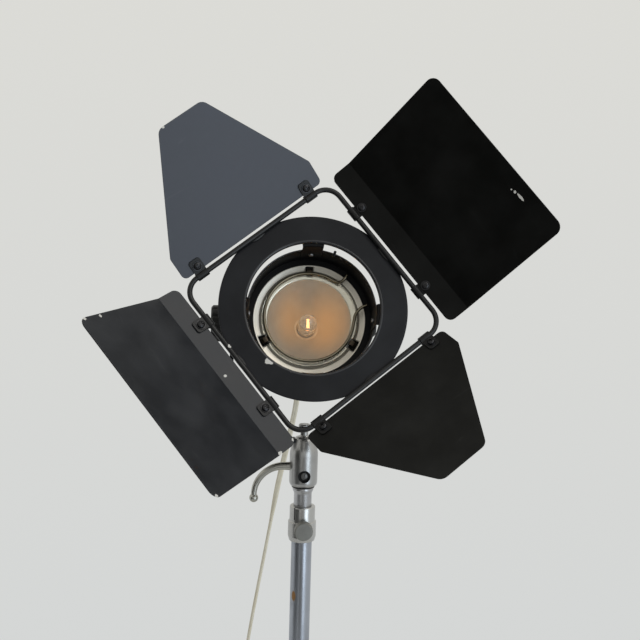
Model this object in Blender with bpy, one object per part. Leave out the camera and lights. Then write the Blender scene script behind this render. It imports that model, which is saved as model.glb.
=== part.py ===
# Film spotlight with a four-leaf barndoor on a telescopic tripod stand.
# Metres, +Z up, origin on the floor at the centre of the overall footprint, the lamp faces -Y.

import math

import bmesh
import bpy
from mathutils import Matrix, Vector

# Clearance between touching pieces
GAP = 0.0003

# From the footprint's centre forward to the stand's axis
STAND_FORWARD = 0.0932

# Pose of the lamp head
PIVOT_HEIGHT = 1.100
PIVOT_BACK = 0.080
TILT_UP = math.radians(18.5)
BARNDOOR_TURN = math.radians(38.3)

# Housing, rear cover and cable gland, z from the ring's face
HOUSING_RADIUS = 0.0650
HOUSING_WALL = 0.0012
HOUSING_FRONT = -0.0205
HOUSING_REAR = -0.1500
COVER_WALL = 0.0015
COVER_SKIRT = 0.0040
COVER_DOME = 0.0100
COVER_SLOPE = 0.0200
COVER_FLAT = HOUSING_RADIUS - COVER_SLOPE
GLAND_SHANK = 0.0045
GLAND_FLANGE = 0.0095
GLAND_TIP = 0.0042
GLAND_LENGTH = 0.0159
VENT_COUNT = 8
VENT_START = 0.0200
VENT_EDGE = 0.0070
VENT_HALF = 0.0025

# Barndoor ring and its rod frame
RING_RADIUS = 0.0925
RING_PLAY = 0.0006
RING_HOLE = HOUSING_RADIUS + RING_PLAY
RING_SHEET = 0.0015
RING_LIP = 0.0038
ROD_RADIUS = 0.0026
ROD_INSET = 0.0023
ROD_HALF_SIDE = RING_RADIUS - ROD_INSET
ROD_CORNER = 0.0174

# Leaves, measured outward from the rod's axis
SHEET = 0.0012
LEAF_CLEARANCE = 0.0025
LEAF_START = ROD_RADIUS + LEAF_CLEARANCE
SMALL_LESS = 0.0060
SMALL_HALF = ROD_HALF_SIDE - SMALL_LESS
SMALL_SHOULDER = 0.0299
SMALL_REACH = 0.1359
SMALL_TIP_HALF = 0.0250
LARGE_MORE = 0.0030
LARGE_HALF = ROD_HALF_SIDE + LARGE_MORE
LARGE_FOLD = 0.0282
LARGE_PANEL = 0.1251
LARGE_BEND = math.radians(30.5)
LEAF_CORNER = 0.0090
LEAF_ANGLES = (15.6, 27.5, 24.7, 37.6)
LEAF_NAMES = ("large_leaf_a", "small_leaf_a", "large_leaf_b", "small_leaf_b")
TAB_BEHIND = (True, False, False, False)

# Leaf clips and their screws
CLIP_SHEET = 0.0012
CLIP_WIDTH = 0.0125
CLIP_REACH = 0.0170
CLIP_CLEARANCE = 0.0063
CLIP_PLACE_SMALL = ROD_HALF_SIDE - ROD_CORNER - CLIP_CLEARANCE
CLIP_PLACE_LARGE = 0.0500
SCREW_EDGE = 0.0070
SCREW_REACH = CLIP_REACH - SCREW_EDGE
SCREW_HEAD = 0.00435
SCREW_HEAD_HEIGHT = 0.0026
SCREW_SHANK = 0.0015
SCREW_TAIL = 0.0028

# Supports between the housing and the ring
BRACKET_WIDTH = 0.0220
BRACKET_SHEET = 0.0020
BRACKET_FOOT = 0.0200
BRACKET_FLANGE = 0.0150

# Reflector, glass, lamp and focus carriage
LEDGE_WIDTH = 0.0065
RIM_WIDTH = 0.0098
RIM_DEPTH = 0.0040
RIM_RADIUS = HOUSING_RADIUS - HOUSING_WALL - LEDGE_WIDTH
MOUTH_RADIUS = RIM_RADIUS - RIM_WIDTH
MOUTH_Z = -0.0560
BASE_RADIUS = 0.0130
BASE_Z = -0.1000
RIM_Z = MOUTH_Z + RIM_DEPTH
REFLECTOR_WALL = 0.0010
GLASS_SEAT = 0.0015
GLASS_RADIUS = MOUTH_RADIUS + GLASS_SEAT
GLASS_THICK = 0.0030
SPRING_INSET = 0.0020
SPRING_RADIUS = GLASS_RADIUS - SPRING_INSET
SPRING_WIRE = 0.0010
BULB_RADIUS = 0.0095
BULB_TIP = -0.0620
BULB_SHOULDER = -0.0970
BULB_STEP = 0.0035
BULB_NECK = BULB_RADIUS - BULB_STEP
HOLDER_FRONT = -0.1100
HOLDER_WALL = 0.0065
HOLDER_RADIUS = BULB_RADIUS + HOLDER_WALL
HOLDER_LENGTH = 0.0200
SOCKET_DEPTH = 0.0080
CARRIAGE_THICK = 0.0030
CARRIAGE_HALF = 0.0080
FOCUS_RADIUS = 0.0120
FOCUS_THICK = 0.0150
FOCUS_SHAFT = 0.0030
FOCUS_OFFSET = 0.0120

# Side arm and tilt knob
ARM_CLEARANCE = 0.0115
ARM_INSIDE = HOUSING_RADIUS + ARM_CLEARANCE
ARM_THICK = 0.0040
ARM_WIDTH = 0.0240
ARM_DROP = 0.1320
ARM_TOP = 0.0150
ARM_BEND = 0.0080
ARM_END = 0.0060
BOSS_RADIUS = 0.0130
STUD_RADIUS = 0.0040
KNOB_RADIUS = 0.0190
KNOB_LENGTH = 0.0200
KNOB_END = ARM_INSIDE + ARM_THICK + KNOB_LENGTH

# Telescopic tubes and collar
RISER_RADIUS = 0.0095
RISER_WALL = 0.0010
RISER_LENGTH = 0.6200
MAIN_WALL = 0.0012
MAIN_RADIUS = RISER_RADIUS + GAP + MAIN_WALL
COLLAR_TOP = 0.1940
COLLAR_STEP = 0.2100
COLLAR_BOTTOM = 0.2315
COLLAR_WALL = 0.0026
COLLAR_BEAD = 0.0014
COLLAR_RADIUS = MAIN_RADIUS + COLLAR_WALL
COLLAR_BULGE = COLLAR_RADIUS + COLLAR_BEAD
COLLAR_OVERLAP = 0.0300
CLAMP_KNOB_RADIUS = 0.0098
CLAMP_KNOB_THICK = 0.0110
CLAMP_BELOW = 0.2150

# Stand head, depths below the tilt pivot
HEAD_TOP = 0.1057
HEAD_SHOULDER = 0.1340
HEAD_BOTTOM = 0.1720
HEAD_WALL = 0.0055
HEAD_RADIUS = RISER_RADIUS + HEAD_WALL
HEAD_SLOPE = 0.0095
HEAD_NECK = HEAD_RADIUS - HEAD_SLOPE
HEAD_BORE_TOP = 0.1450
RECESS_DEPTH_BELOW = 0.1594
RECESS_RADIUS = 0.0070
RECESS_DEPTH = 0.0025
LEVER_BELOW = 0.1512
LEVER_ROD = 0.0034
LEVER_BEND = 0.0310
LEVER_STRAIGHT = 0.0060
LEVER_BALL = 0.0056

# Tripod
HUB_HEIGHT = 0.0900
HUB_WALL = 0.0080
HUB_RADIUS = MAIN_RADIUS + HUB_WALL
HUB_THICK = 0.0240
PIVOT_OUT = 0.0110
PIVOT_RING = HUB_RADIUS + PIVOT_OUT
BRACE_LENGTH = 0.2200
BRACE_WIDTH = 0.0100
BRACE_THICK = 0.0025
LEG_SPREAD = math.radians(45.0)
LEG_RADIUS = 0.0070
TONGUE_THICK = 0.0050
TONGUE_WIDTH = 0.0120
TONGUE_LENGTH = 0.0260
EAR_THICK = 0.0030
EAR_WIDTH = 0.0140
PIN_RADIUS = 0.0020
FOOT_WALL = 0.0025
FOOT_RADIUS = LEG_RADIUS + FOOT_WALL
FOOT_LENGTH = 0.0320
FOOT_FLAT = 0.0008
CORD_FLOOR = 0.0002
LEG_DIRECTIONS = (90.0, 210.0, 330.0)

# Cord, coil and plug
CORD_RADIUS = 0.0030
COIL_CENTRE = (-0.208, 0.120)
COIL_OUTER = 0.0720
COIL_PITCH = 0.0080
COIL_TURNS_IN = 2.0
COIL_TURNS_OUT = 1.25
COIL_TAIL = 0.0620
COIL_START = math.radians(62.0)
COIL_POINTS = 24
PLUG_WIDTH = 0.0260
PLUG_HEIGHT = 0.0180
PLUG_LENGTH = 0.0380
PIN_LENGTH = 0.0190
PLUG_PIN_RADIUS = 0.0024
PLUG_PIN_SPACE = 0.0190

ROUND = 40
FINE = 20
SMALL = 10

MATERIALS = {
    "black_paint": ((0.020, 0.022, 0.025), 0.0, 0.38),
    "leaf_paint": ((0.030, 0.033, 0.038), 0.0, 0.42),
    "dark_steel": ((0.060, 0.060, 0.062), 1.0, 0.45),
    "chrome": ((0.62, 0.63, 0.66), 1.0, 0.16),
    "grey_screw": ((0.30, 0.30, 0.31), 1.0, 0.40),
    "reflector_metal": ((0.72, 0.68, 0.60), 1.0, 0.22),
    "clear_glass": ((0.90, 0.92, 0.92), 0.0, 0.05),
    "bulb_glass": ((0.92, 0.80, 0.62), 0.0, 0.08),
    "ceramic": ((0.80, 0.77, 0.70), 0.0, 0.60),
    "black_plastic": ((0.018, 0.018, 0.018), 0.0, 0.45),
    "rubber": ((0.025, 0.025, 0.024), 0.0, 0.80),
    "cream_cord": ((0.62, 0.58, 0.47), 0.0, 0.55),
}


def clear_scene():
    for obj in list(bpy.data.objects):
        bpy.data.objects.remove(obj)


def make_materials():
    made = {}
    for name, (colour, metallic, roughness) in MATERIALS.items():
        mat = bpy.data.materials.new(name)
        mat.use_nodes = True
        shader = mat.node_tree.nodes["Principled BSDF"]
        shader.inputs["Base Color"].default_value = (*colour, 1.0)
        shader.inputs["Metallic"].default_value = metallic
        shader.inputs["Roughness"].default_value = roughness
        made[name] = mat
    return made


def attach(obj, parent):
    """Parent to the given object, or to the empty that centres the whole spotlight."""
    bpy.context.scene.collection.objects.link(obj)
    centre = bpy.data.objects.get("footprint_centre")
    if parent or obj != centre:
        obj.parent = parent or centre


def add_empty(name, parent=None, location=(0, 0, 0), rotation=(0, 0, 0)):
    obj = bpy.data.objects.new(name, None)
    attach(obj, parent)
    obj.location = location
    obj.rotation_euler = rotation
    return obj


def add_mesh(name, bm, mat, parent=None, location=(0, 0, 0), rotation=(0, 0, 0)):
    bmesh.ops.recalc_face_normals(bm, faces=bm.faces)
    mesh = bpy.data.meshes.new(name)
    bm.to_mesh(mesh)
    bm.free()
    mesh.materials.append(mat)
    mesh.shade_smooth()
    mesh.set_sharp_from_angle(angle=math.radians(35))
    obj = bpy.data.objects.new(name, mesh)
    attach(obj, parent)
    obj.location = location
    obj.rotation_euler = rotation
    return obj


def revolve(profile, segments, loop=False, axis="z"):
    """Turned solid; a loop profile is a ring, an open one starts and ends on the axis."""
    bm = bmesh.new()
    rings = []
    for radius, along in profile:
        if radius == 0:
            rings.append([bm.verts.new(turned_point(0, 0, along, axis))] * segments)
            continue
        ring = []
        for k in range(segments):
            angle = 2 * math.pi * k / segments
            ring.append(bm.verts.new(turned_point(radius, angle, along, axis)))
        rings.append(ring)
    pairs = list(zip(rings, rings[1:] + rings[:1])) if loop else list(zip(rings, rings[1:]))
    for first, second in pairs:
        for k in range(segments):
            n = (k + 1) % segments
            corners = [first[k], first[n], second[n], second[k]]
            unique = list(dict.fromkeys(corners))
            bm.faces.new(unique)
    return bm


def turned_point(radius, angle, along, axis):
    u = radius * math.cos(angle)
    v = radius * math.sin(angle)
    if axis == "x":
        return (along, u, v)
    if axis == "y":
        return (u, along, v)
    return (u, v, along)


def prism(outline, low, high, plane="xy"):
    """Flat outline pushed straight along the axis that its plane leaves out."""
    place = {
        "xy": lambda p, t: (p[0], p[1], t),
        "xz": lambda p, t: (p[0], t, p[1]),
        "yz": lambda p, t: (t, p[0], p[1]),
    }[plane]
    bm = bmesh.new()
    bottom = [bm.verts.new(place(p, low)) for p in outline]
    top = [bm.verts.new(place(p, high)) for p in outline]
    bm.faces.new(bottom)
    bm.faces.new(top)
    for k in range(len(outline)):
        n = (k + 1) % len(outline)
        bm.faces.new([bottom[k], bottom[n], top[n], top[k]])
    return bm


def arc(centre, radius, start, end, steps):
    points = []
    for k in range(steps + 1):
        angle = math.radians(start + (end - start) * k / steps)
        points.append((centre[0] + radius * math.cos(angle), centre[1] + radius * math.sin(angle)))
    return points


def round_corners(points, radii, steps=4):
    """Outline with each corner replaced by a tangent arc of its own radius."""
    result = []
    count = len(points)
    for k in range(count):
        corner = Vector(points[k])
        if radii[k] == 0:
            result.append(tuple(corner))
            continue
        before = (Vector(points[k - 1]) - corner).normalized()
        after = (Vector(points[(k + 1) % count]) - corner).normalized()
        half = before.angle(after) / 2
        start = corner + before * (radii[k] / math.tan(half))
        middle = corner + (before + after).normalized() * (radii[k] / math.sin(half))
        sweep = math.pi - 2 * half
        turn = 1 if before.x * after.y - before.y * after.x < 0 else -1
        for j in range(steps + 1):
            arm = Matrix.Rotation(turn * sweep * j / steps, 2) @ (start - middle)
            result.append(tuple(middle + arm))
    return result


def box_outline(x0, x1, y0, y1):
    return [(x0, y0), (x1, y0), (x1, y1), (x0, y1)]


def add_cutter(name, bm, parent, location=(0, 0, 0), rotation=(0, 0, 0)):
    obj = add_mesh(name, bm, STUFF["black_paint"], parent, location, rotation)
    obj.hide_render = True
    obj.display_type = "WIRE"
    return obj


def add_boolean(obj, other, operation="DIFFERENCE"):
    modifier = obj.modifiers.new(operation.lower(), "BOOLEAN")
    modifier.operation = operation
    modifier.object = other


def cylinder(radius, start, end, axis="z", segments=SMALL):
    return revolve([(0, start), (radius, start), (radius, end), (0, end)], segments, axis=axis)


def add_tube(name, points, radius, mat, parent=None, closed=False, resolution=2):
    """Round bar or cord along a run of points."""
    curve = bpy.data.curves.new(name, "CURVE")
    curve.dimensions = "3D"
    curve.bevel_depth = radius
    curve.bevel_resolution = resolution
    curve.use_fill_caps = not closed
    spline = curve.splines.new("POLY")
    spline.points.add(len(points) - 1)
    for point, place in zip(spline.points, points):
        point.co = (*place, 1.0)
    spline.use_cyclic_u = closed
    curve.materials.append(mat)
    obj = bpy.data.objects.new(name, curve)
    attach(obj, parent)
    return obj


def smooth_route(points, spacing):
    """Evenly spaced points along a centripetal Catmull-Rom curve through the route's points."""
    points = [Vector(p) for p in points]
    first = points[0] + (points[0] - points[1])
    last = points[-1] + (points[-1] - points[-2])
    padded = [first] + points + [last]
    dense = []
    for k in range(1, len(padded) - 2):
        p0, p1, p2, p3 = padded[k - 1:k + 3]
        t1 = (p1 - p0).length ** 0.5
        t2 = t1 + (p2 - p1).length ** 0.5
        t3 = t2 + (p3 - p2).length ** 0.5
        for j in range(40):
            t = t1 + (t2 - t1) * j / 40
            a1 = p0 * ((t1 - t) / t1) + p1 * (t / t1)
            a2 = p1 * ((t2 - t) / (t2 - t1)) + p2 * ((t - t1) / (t2 - t1))
            a3 = p2 * ((t3 - t) / (t3 - t2)) + p3 * ((t - t2) / (t3 - t2))
            b1 = a1 * ((t2 - t) / t2) + a2 * (t / t2)
            b2 = a2 * ((t3 - t) / (t3 - t1)) + a3 * ((t - t1) / (t3 - t1))
            dense.append(b1 * ((t2 - t) / (t2 - t1)) + b2 * ((t - t1) / (t2 - t1)))
    dense.append(points[-1])
    lengths = [0.0]
    for a, b in zip(dense, dense[1:]):
        lengths.append(lengths[-1] + (b - a).length)
    count = max(2, round(lengths[-1] / spacing))
    result = []
    index = 0
    for k in range(count + 1):
        wanted = lengths[-1] * k / count
        while index < len(lengths) - 2 and lengths[index + 1] < wanted:
            index += 1
        share = (wanted - lengths[index]) / (lengths[index + 1] - lengths[index])
        result.append(dense[index].lerp(dense[index + 1], min(1.0, share)))
    return result, lengths[-1]


def build_housing(face):
    inside = HOUSING_RADIUS - HOUSING_WALL
    shell = add_mesh(
        "housing_shell",
        revolve(
            [
                (inside, HOUSING_FRONT),
                (HOUSING_RADIUS, HOUSING_FRONT),
                (HOUSING_RADIUS, HOUSING_REAR),
                (inside, HOUSING_REAR),
            ],
            ROUND,
            loop=True,
        ),
        STUFF["black_paint"],
        face,
    )
    shoulder = revolve(
        [
            (RIM_RADIUS + GAP, RIM_Z - 0.0025),
            (inside + HOUSING_WALL / 2, RIM_Z - 0.0025),
            (inside + HOUSING_WALL / 2, RIM_Z + 0.0005),
            (RIM_RADIUS + GAP, RIM_Z + 0.0005),
        ],
        ROUND,
        loop=True,
    )
    add_boolean(shell, add_cutter("reflector_shoulder", shoulder, face), "UNION")
    boss = cylinder(BOSS_RADIUS, -(inside + HOUSING_WALL / 2), -(ARM_INSIDE - GAP), axis="x", segments=FINE)
    add_boolean(shell, add_cutter("pivot_boss", boss, face, (0, 0, -PIVOT_BACK)), "UNION")
    hole = cylinder(FOCUS_SHAFT + GAP, inside - 0.004, HOUSING_RADIUS + 0.004, axis="x")
    add_boolean(shell, add_cutter("focus_hole", hole, face, (0, FOCUS_OFFSET, focus_axis_z())))

    skirt = inside - GAP
    flange = HOUSING_REAR - GAP
    back = cover_back()
    bore = GLAND_SHANK + GAP
    cover = add_mesh(
        "rear_cover",
        revolve(
            [
                (skirt, HOUSING_REAR + COVER_SKIRT),
                (skirt, flange),
                (HOUSING_RADIUS, flange),
                (HOUSING_RADIUS, flange - COVER_WALL),
                (COVER_FLAT, back),
                (bore, back),
                (bore, back + COVER_WALL),
                (COVER_FLAT - COVER_WALL / 2, back + COVER_WALL),
                (skirt - COVER_WALL, flange),
                (skirt - COVER_WALL, HOUSING_REAR + COVER_SKIRT),
            ],
            ROUND,
            loop=True,
        ),
        STUFF["black_paint"],
        face,
    )
    slots = bmesh.new()
    for k in range(VENT_COUNT):
        turn = Matrix.Rotation(2 * math.pi * (k + 0.5) / VENT_COUNT, 4, "Z")
        slot = prism(box_outline(VENT_START, COVER_FLAT - VENT_EDGE, -VENT_HALF, VENT_HALF), back - 0.002, back + 0.004)
        slot.transform(turn)
        mesh = bpy.data.meshes.new("slot")
        slot.to_mesh(mesh)
        slot.free()
        slots.from_mesh(mesh)
        bpy.data.meshes.remove(mesh)
    add_boolean(cover, add_cutter("vent_slots", slots, face))

    tip = gland_tip()
    add_mesh(
        "cord_gland",
        revolve(
            [
                (0, back + 0.004),
                (GLAND_SHANK, back + 0.004),
                (GLAND_SHANK, back - GAP),
                (GLAND_FLANGE, back - GAP),
                (GLAND_FLANGE, back - GAP - 0.0030),
                (GLAND_TIP + 0.0016, back - GAP - 0.0045),
                (GLAND_TIP, tip),
                (0, tip),
            ],
            FINE,
        ),
        STUFF["rubber"],
        face,
    )


def cover_back():
    return HOUSING_REAR - GAP - COVER_WALL - COVER_DOME


def gland_tip():
    return cover_back() - GAP - GLAND_LENGTH


def build_optics(face):
    profile = []
    steps = 5
    growth = (MOUTH_RADIUS ** 2 - BASE_RADIUS ** 2) / (MOUTH_Z - BASE_Z)
    for k in range(steps + 1):
        along = BASE_Z + (MOUTH_Z - BASE_Z) * (k / steps) ** 1.5
        profile.append((math.sqrt(BASE_RADIUS ** 2 + growth * (along - BASE_Z)), along))
    profile.append((RIM_RADIUS, RIM_Z))
    outside = [(r + REFLECTOR_WALL * 0.4, z - REFLECTOR_WALL) for r, z in reversed(profile)]
    outside[0] = (RIM_RADIUS, RIM_Z - REFLECTOR_WALL)
    reflector = revolve(profile + outside, ROUND, loop=True)
    add_mesh("reflector", reflector, STUFF["reflector_metal"], face)

    slope = (RIM_Z - MOUTH_Z) / (RIM_RADIUS - MOUTH_RADIUS)
    glass_back = MOUTH_Z + slope * (GLASS_RADIUS - MOUTH_RADIUS) + GAP
    glass_front = glass_back + GLASS_THICK
    add_mesh(
        "front_glass",
        cylinder(GLASS_RADIUS, glass_back, glass_front, segments=ROUND),
        STUFF["clear_glass"],
        face,
    )

    wire_z = glass_front + GAP + SPRING_WIRE
    points = []
    for angle, reach, rise in ((14, 0.0130, 0.0035), (8, 0.0075, 0.0030), (3, 0.0025, 0.0010)):
        points.append(spring_point(angle, SPRING_RADIUS + reach, wire_z + rise))
    for k in range(31):
        points.append(spring_point(-(4 + 300 * k / 30), SPRING_RADIUS, wire_z))
    for angle, reach, rise in ((54, 0.0025, 0.0010), (52, 0.0075, 0.0030), (49, 0.0130, 0.0035)):
        points.append(spring_point(angle, SPRING_RADIUS + reach, wire_z + rise))
    add_tube("glass_spring", points, SPRING_WIRE, STUFF["dark_steel"], face, resolution=1)


def spring_point(angle, radius, z):
    turn = math.radians(angle)
    return (radius * math.cos(turn), radius * math.sin(turn), z)


def carriage_front():
    return HOLDER_FRONT - HOLDER_LENGTH - GAP


def focus_axis_z():
    return carriage_front() - CARRIAGE_THICK / 2


def build_lamp_carriage(slide, face):
    neck_end = HOLDER_FRONT - SOCKET_DEPTH + GAP
    dome = arc((0, BULB_TIP - BULB_RADIUS), BULB_RADIUS, 90, 0, 5)
    dome[0] = (0, BULB_TIP)
    profile = dome + [
        (BULB_RADIUS, BULB_SHOULDER),
        (BULB_NECK, BULB_SHOULDER - 0.004),
        (BULB_NECK, neck_end),
        (0, neck_end),
    ]
    add_mesh("bulb", revolve(profile, FINE), STUFF["bulb_glass"], slide)

    bore = BULB_NECK + GAP
    add_mesh(
        "lamp_holder",
        revolve(
            [
                (0, HOLDER_FRONT - SOCKET_DEPTH),
                (bore, HOLDER_FRONT - SOCKET_DEPTH),
                (bore, HOLDER_FRONT),
                (HOLDER_RADIUS, HOLDER_FRONT),
                (HOLDER_RADIUS, HOLDER_FRONT - HOLDER_LENGTH),
                (0, HOLDER_FRONT - HOLDER_LENGTH),
            ],
            FINE,
        ),
        STUFF["ceramic"],
        slide,
    )

    wall = HOUSING_RADIUS - HOUSING_WALL - GAP
    half_span = math.sqrt(wall ** 2 - CARRIAGE_HALF ** 2)
    front = carriage_front()
    bar = prism(
        box_outline(-half_span, half_span, -CARRIAGE_HALF, CARRIAGE_HALF),
        front - CARRIAGE_THICK,
        front,
    )
    add_mesh("lamp_carriage", bar, STUFF["dark_steel"], slide)

    knob = revolve(
        [
            (0, HOUSING_RADIUS - 0.004),
            (FOCUS_SHAFT, HOUSING_RADIUS - 0.004),
            (FOCUS_SHAFT, HOUSING_RADIUS + 0.001),
            (FOCUS_RADIUS * 0.7, HOUSING_RADIUS + 0.001),
            (FOCUS_RADIUS, HOUSING_RADIUS + 0.004),
            (FOCUS_RADIUS, HOUSING_RADIUS + FOCUS_THICK - 0.002),
            (FOCUS_RADIUS - 0.002, HOUSING_RADIUS + FOCUS_THICK),
            (0, HOUSING_RADIUS + FOCUS_THICK),
        ],
        FINE,
        axis="x",
    )
    axis = add_empty("focus_axis", face, (0, FOCUS_OFFSET, focus_axis_z()))
    add_mesh("focus_knob", knob, STUFF["black_plastic"], axis)


def build_brackets(face):
    """Four angle brackets from the housing's inner wall to the back of the ring's lip."""
    wall = HOUSING_RADIUS - HOUSING_WALL - GAP
    outer = math.sqrt(wall ** 2 - (BRACKET_WIDTH / 2) ** 2)
    inner = outer - BRACKET_SHEET
    front = -RING_LIP - GAP
    outline = [
        (inner, HOUSING_FRONT - BRACKET_FOOT),
        (outer, HOUSING_FRONT - BRACKET_FOOT),
        (outer, front - BRACKET_SHEET),
        (outer + BRACKET_FLANGE, front - BRACKET_SHEET),
        (outer + BRACKET_FLANGE, front),
        (inner + BRACKET_SHEET * 0.4, front),
        (inner, front - BRACKET_SHEET * 0.4),
    ]
    for k, side in enumerate(("right", "top", "left", "bottom")):
        bm = prism(outline, -BRACKET_WIDTH / 2, BRACKET_WIDTH / 2, "xz")
        add_mesh(f"ring_bracket_{side}", bm, STUFF["black_paint"], face, rotation=(0, 0, k * math.pi / 2))


def build_ring(barndoor):
    roll = RING_SHEET
    profile = arc((RING_HOLE + roll, -roll), roll, 180, 90, 3) + [
        (RING_RADIUS - 0.0004, 0),
        (RING_RADIUS, -0.0004),
        (RING_RADIUS, -RING_SHEET),
        (RING_HOLE + RING_SHEET, -RING_SHEET),
        (RING_HOLE + RING_SHEET, -RING_LIP),
        (RING_HOLE, -RING_LIP),
    ]
    add_mesh("barndoor_ring", revolve(profile, ROUND, loop=True), STUFF["black_paint"], barndoor)

    points = []
    straight = ROD_HALF_SIDE - ROD_CORNER
    for k in range(4):
        middle = Matrix.Rotation(k * math.pi / 2, 2) @ Vector((straight, straight))
        for x, y in arc(middle, ROD_CORNER, 90 * k, 90 * k + 90, 6):
            points.append((x, y, rod_height()))
    add_tube("rod_frame", points, ROD_RADIUS, STUFF["black_paint"], barndoor, closed=True)


def rod_height():
    return ROD_RADIUS + GAP


def clip_outline(behind):
    """Strap round the rod that ends in a flat tab beside the leaf."""
    inner = ROD_RADIUS + GAP
    outer = inner + CLIP_SHEET
    tab_low = SHEET / 2 + GAP
    tab_high = tab_low + CLIP_SHEET
    start_outer = math.degrees(math.asin(tab_high / outer))
    start_inner = math.degrees(math.asin(tab_low / inner))
    outline = [(CLIP_REACH, tab_low), (CLIP_REACH, tab_high)]
    outline += arc((0, 0), outer, start_outer, 335, 14)
    outline += arc((0, 0), inner, 335, start_inner, 12)
    if behind:
        outline = [(x, -z) for x, z in outline]
    return outline


def build_leaf(index, barndoor):
    large = index % 2 == 0
    name = LEAF_NAMES[index]
    behind = TAB_BEHIND[index]
    side = add_empty(f"{name}_side", barndoor, rotation=(0, 0, index * math.pi / 2))
    hinge = add_empty(f"{name}_hinge", side, (ROD_HALF_SIDE, 0, rod_height()))
    hinge.rotation_euler = (0, -math.radians(LEAF_ANGLES[index]), 0)

    if large:
        reach = LARGE_FOLD + LARGE_PANEL
        corners = box_outline(LEAF_START, reach, -LARGE_HALF, LARGE_HALF)
        outline = round_corners(corners, [LEAF_CORNER * 0.8, LEAF_CORNER, LEAF_CORNER, LEAF_CORNER * 0.8])
        place = CLIP_PLACE_LARGE
    else:
        corners = [
            (LEAF_START, -SMALL_HALF),
            (SMALL_SHOULDER, -SMALL_HALF),
            (SMALL_REACH, -SMALL_TIP_HALF),
            (SMALL_REACH, SMALL_TIP_HALF),
            (SMALL_SHOULDER, SMALL_HALF),
            (LEAF_START, SMALL_HALF),
        ]
        soft = LEAF_CORNER * 0.6
        outline = round_corners(corners, [soft, soft, LEAF_CORNER, LEAF_CORNER, soft, soft])
        place = CLIP_PLACE_SMALL
    bm = prism(outline, -SHEET / 2, SHEET / 2)
    if large:
        fold_sheet(bm, LARGE_FOLD, LARGE_BEND)
    leaf = add_mesh(name, bm, STUFF["leaf_paint"], hinge)

    tab_top = SHEET / 2 if behind else SHEET / 2 + GAP + CLIP_SHEET
    head_low = tab_top + GAP
    back = -SHEET / 2 - (GAP + CLIP_SHEET if behind else 0)
    holes = cylinder(SCREW_SHANK + GAP, -0.006, 0.006)
    for k, sign in enumerate((-1, 1)):
        middle = sign * place
        hole = add_cutter(f"{name}_hole_{k + 1}", holes.copy(), hinge, (SCREW_REACH, middle, 0))
        strap = prism(clip_outline(behind), middle - CLIP_WIDTH / 2, middle + CLIP_WIDTH / 2, "xz")
        clip = add_mesh(f"{name}_clip_{k + 1}", strap, STUFF["black_paint"], hinge)
        add_boolean(leaf, hole)
        add_boolean(clip, hole)
        screw = revolve(
            [
                (0, back - SCREW_TAIL),
                (SCREW_SHANK, back - SCREW_TAIL),
                (SCREW_SHANK, head_low),
                (SCREW_HEAD, head_low),
                (SCREW_HEAD, head_low + SCREW_HEAD_HEIGHT * 0.5),
                (SCREW_HEAD * 0.65, head_low + SCREW_HEAD_HEIGHT),
                (0, head_low + SCREW_HEAD_HEIGHT),
            ],
            SMALL,
        )
        add_mesh(f"{name}_screw_{k + 1}", screw, STUFF["dark_steel"], hinge, (SCREW_REACH, middle, 0))
    holes.free()


def fold_sheet(bm, place, angle):
    """Bend the sheet toward its front along the line at this distance from the rod."""
    bmesh.ops.bisect_plane(
        bm,
        geom=bm.verts[:] + bm.edges[:] + bm.faces[:],
        plane_co=(place, 0, 0),
        plane_no=(1, 0, 0),
    )
    turn = Matrix.Rotation(-angle, 4, "Y")
    centre = Vector((place, 0, 0))
    for vert in bm.verts:
        if vert.co.x > place + 0.0001:
            vert.co = centre + turn @ (vert.co - centre)


def build_arm(pan):
    """Flat bar from the stand head up the lamp's left side to the tilt knob."""
    inner = -ARM_INSIDE
    outer = inner - ARM_THICK
    low = PIVOT_HEIGHT - ARM_DROP - ARM_THICK
    corner = (outer + ARM_BEND + ARM_THICK, low + ARM_THICK + ARM_BEND)
    outline = [(outer, PIVOT_HEIGHT + ARM_TOP), (inner, PIVOT_HEIGHT + ARM_TOP)]
    outline += arc(corner, ARM_BEND, 180, 270, 4)
    outline += [(-ARM_END, low + ARM_THICK), (-ARM_END, low)]
    outline += arc(corner, ARM_BEND + ARM_THICK, 270, 180, 6)
    bm = prism(outline, -ARM_WIDTH / 2, ARM_WIDTH / 2, "xz")
    top_edges = []
    for edge in bm.edges:
        a, b = edge.verts
        if min(a.co.z, b.co.z) > PIVOT_HEIGHT + ARM_TOP - 0.0001 and abs(a.co.y - b.co.y) < 0.0001:
            top_edges.append(edge)
    bmesh.ops.bevel(bm, geom=top_edges, offset=ARM_WIDTH * 0.4, segments=4, affect="EDGES", profile=0.5)
    arm = add_mesh("side_arm", bm, STUFF["black_paint"], pan)
    hole = cylinder(STUD_RADIUS + GAP, outer - 0.002, inner + 0.002, axis="x")
    add_boolean(arm, add_cutter("arm_hole", hole, pan, (0, 0, PIVOT_HEIGHT)))


def build_tilt_knob(axis):
    face = ARM_INSIDE + ARM_THICK + GAP
    knob = revolve(
        [
            (0, -ARM_INSIDE),
            (STUD_RADIUS, -ARM_INSIDE),
            (STUD_RADIUS, -face),
            (KNOB_RADIUS * 0.6, -face),
            (KNOB_RADIUS * 0.6, -face - 0.004),
            (KNOB_RADIUS, -face - 0.006),
            (KNOB_RADIUS, -KNOB_END + 0.002),
            (KNOB_RADIUS - 0.002, -KNOB_END),
            (0, -KNOB_END),
        ],
        FINE,
        axis="x",
    )
    add_mesh("tilt_knob", knob, STUFF["black_plastic"], axis)


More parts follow.
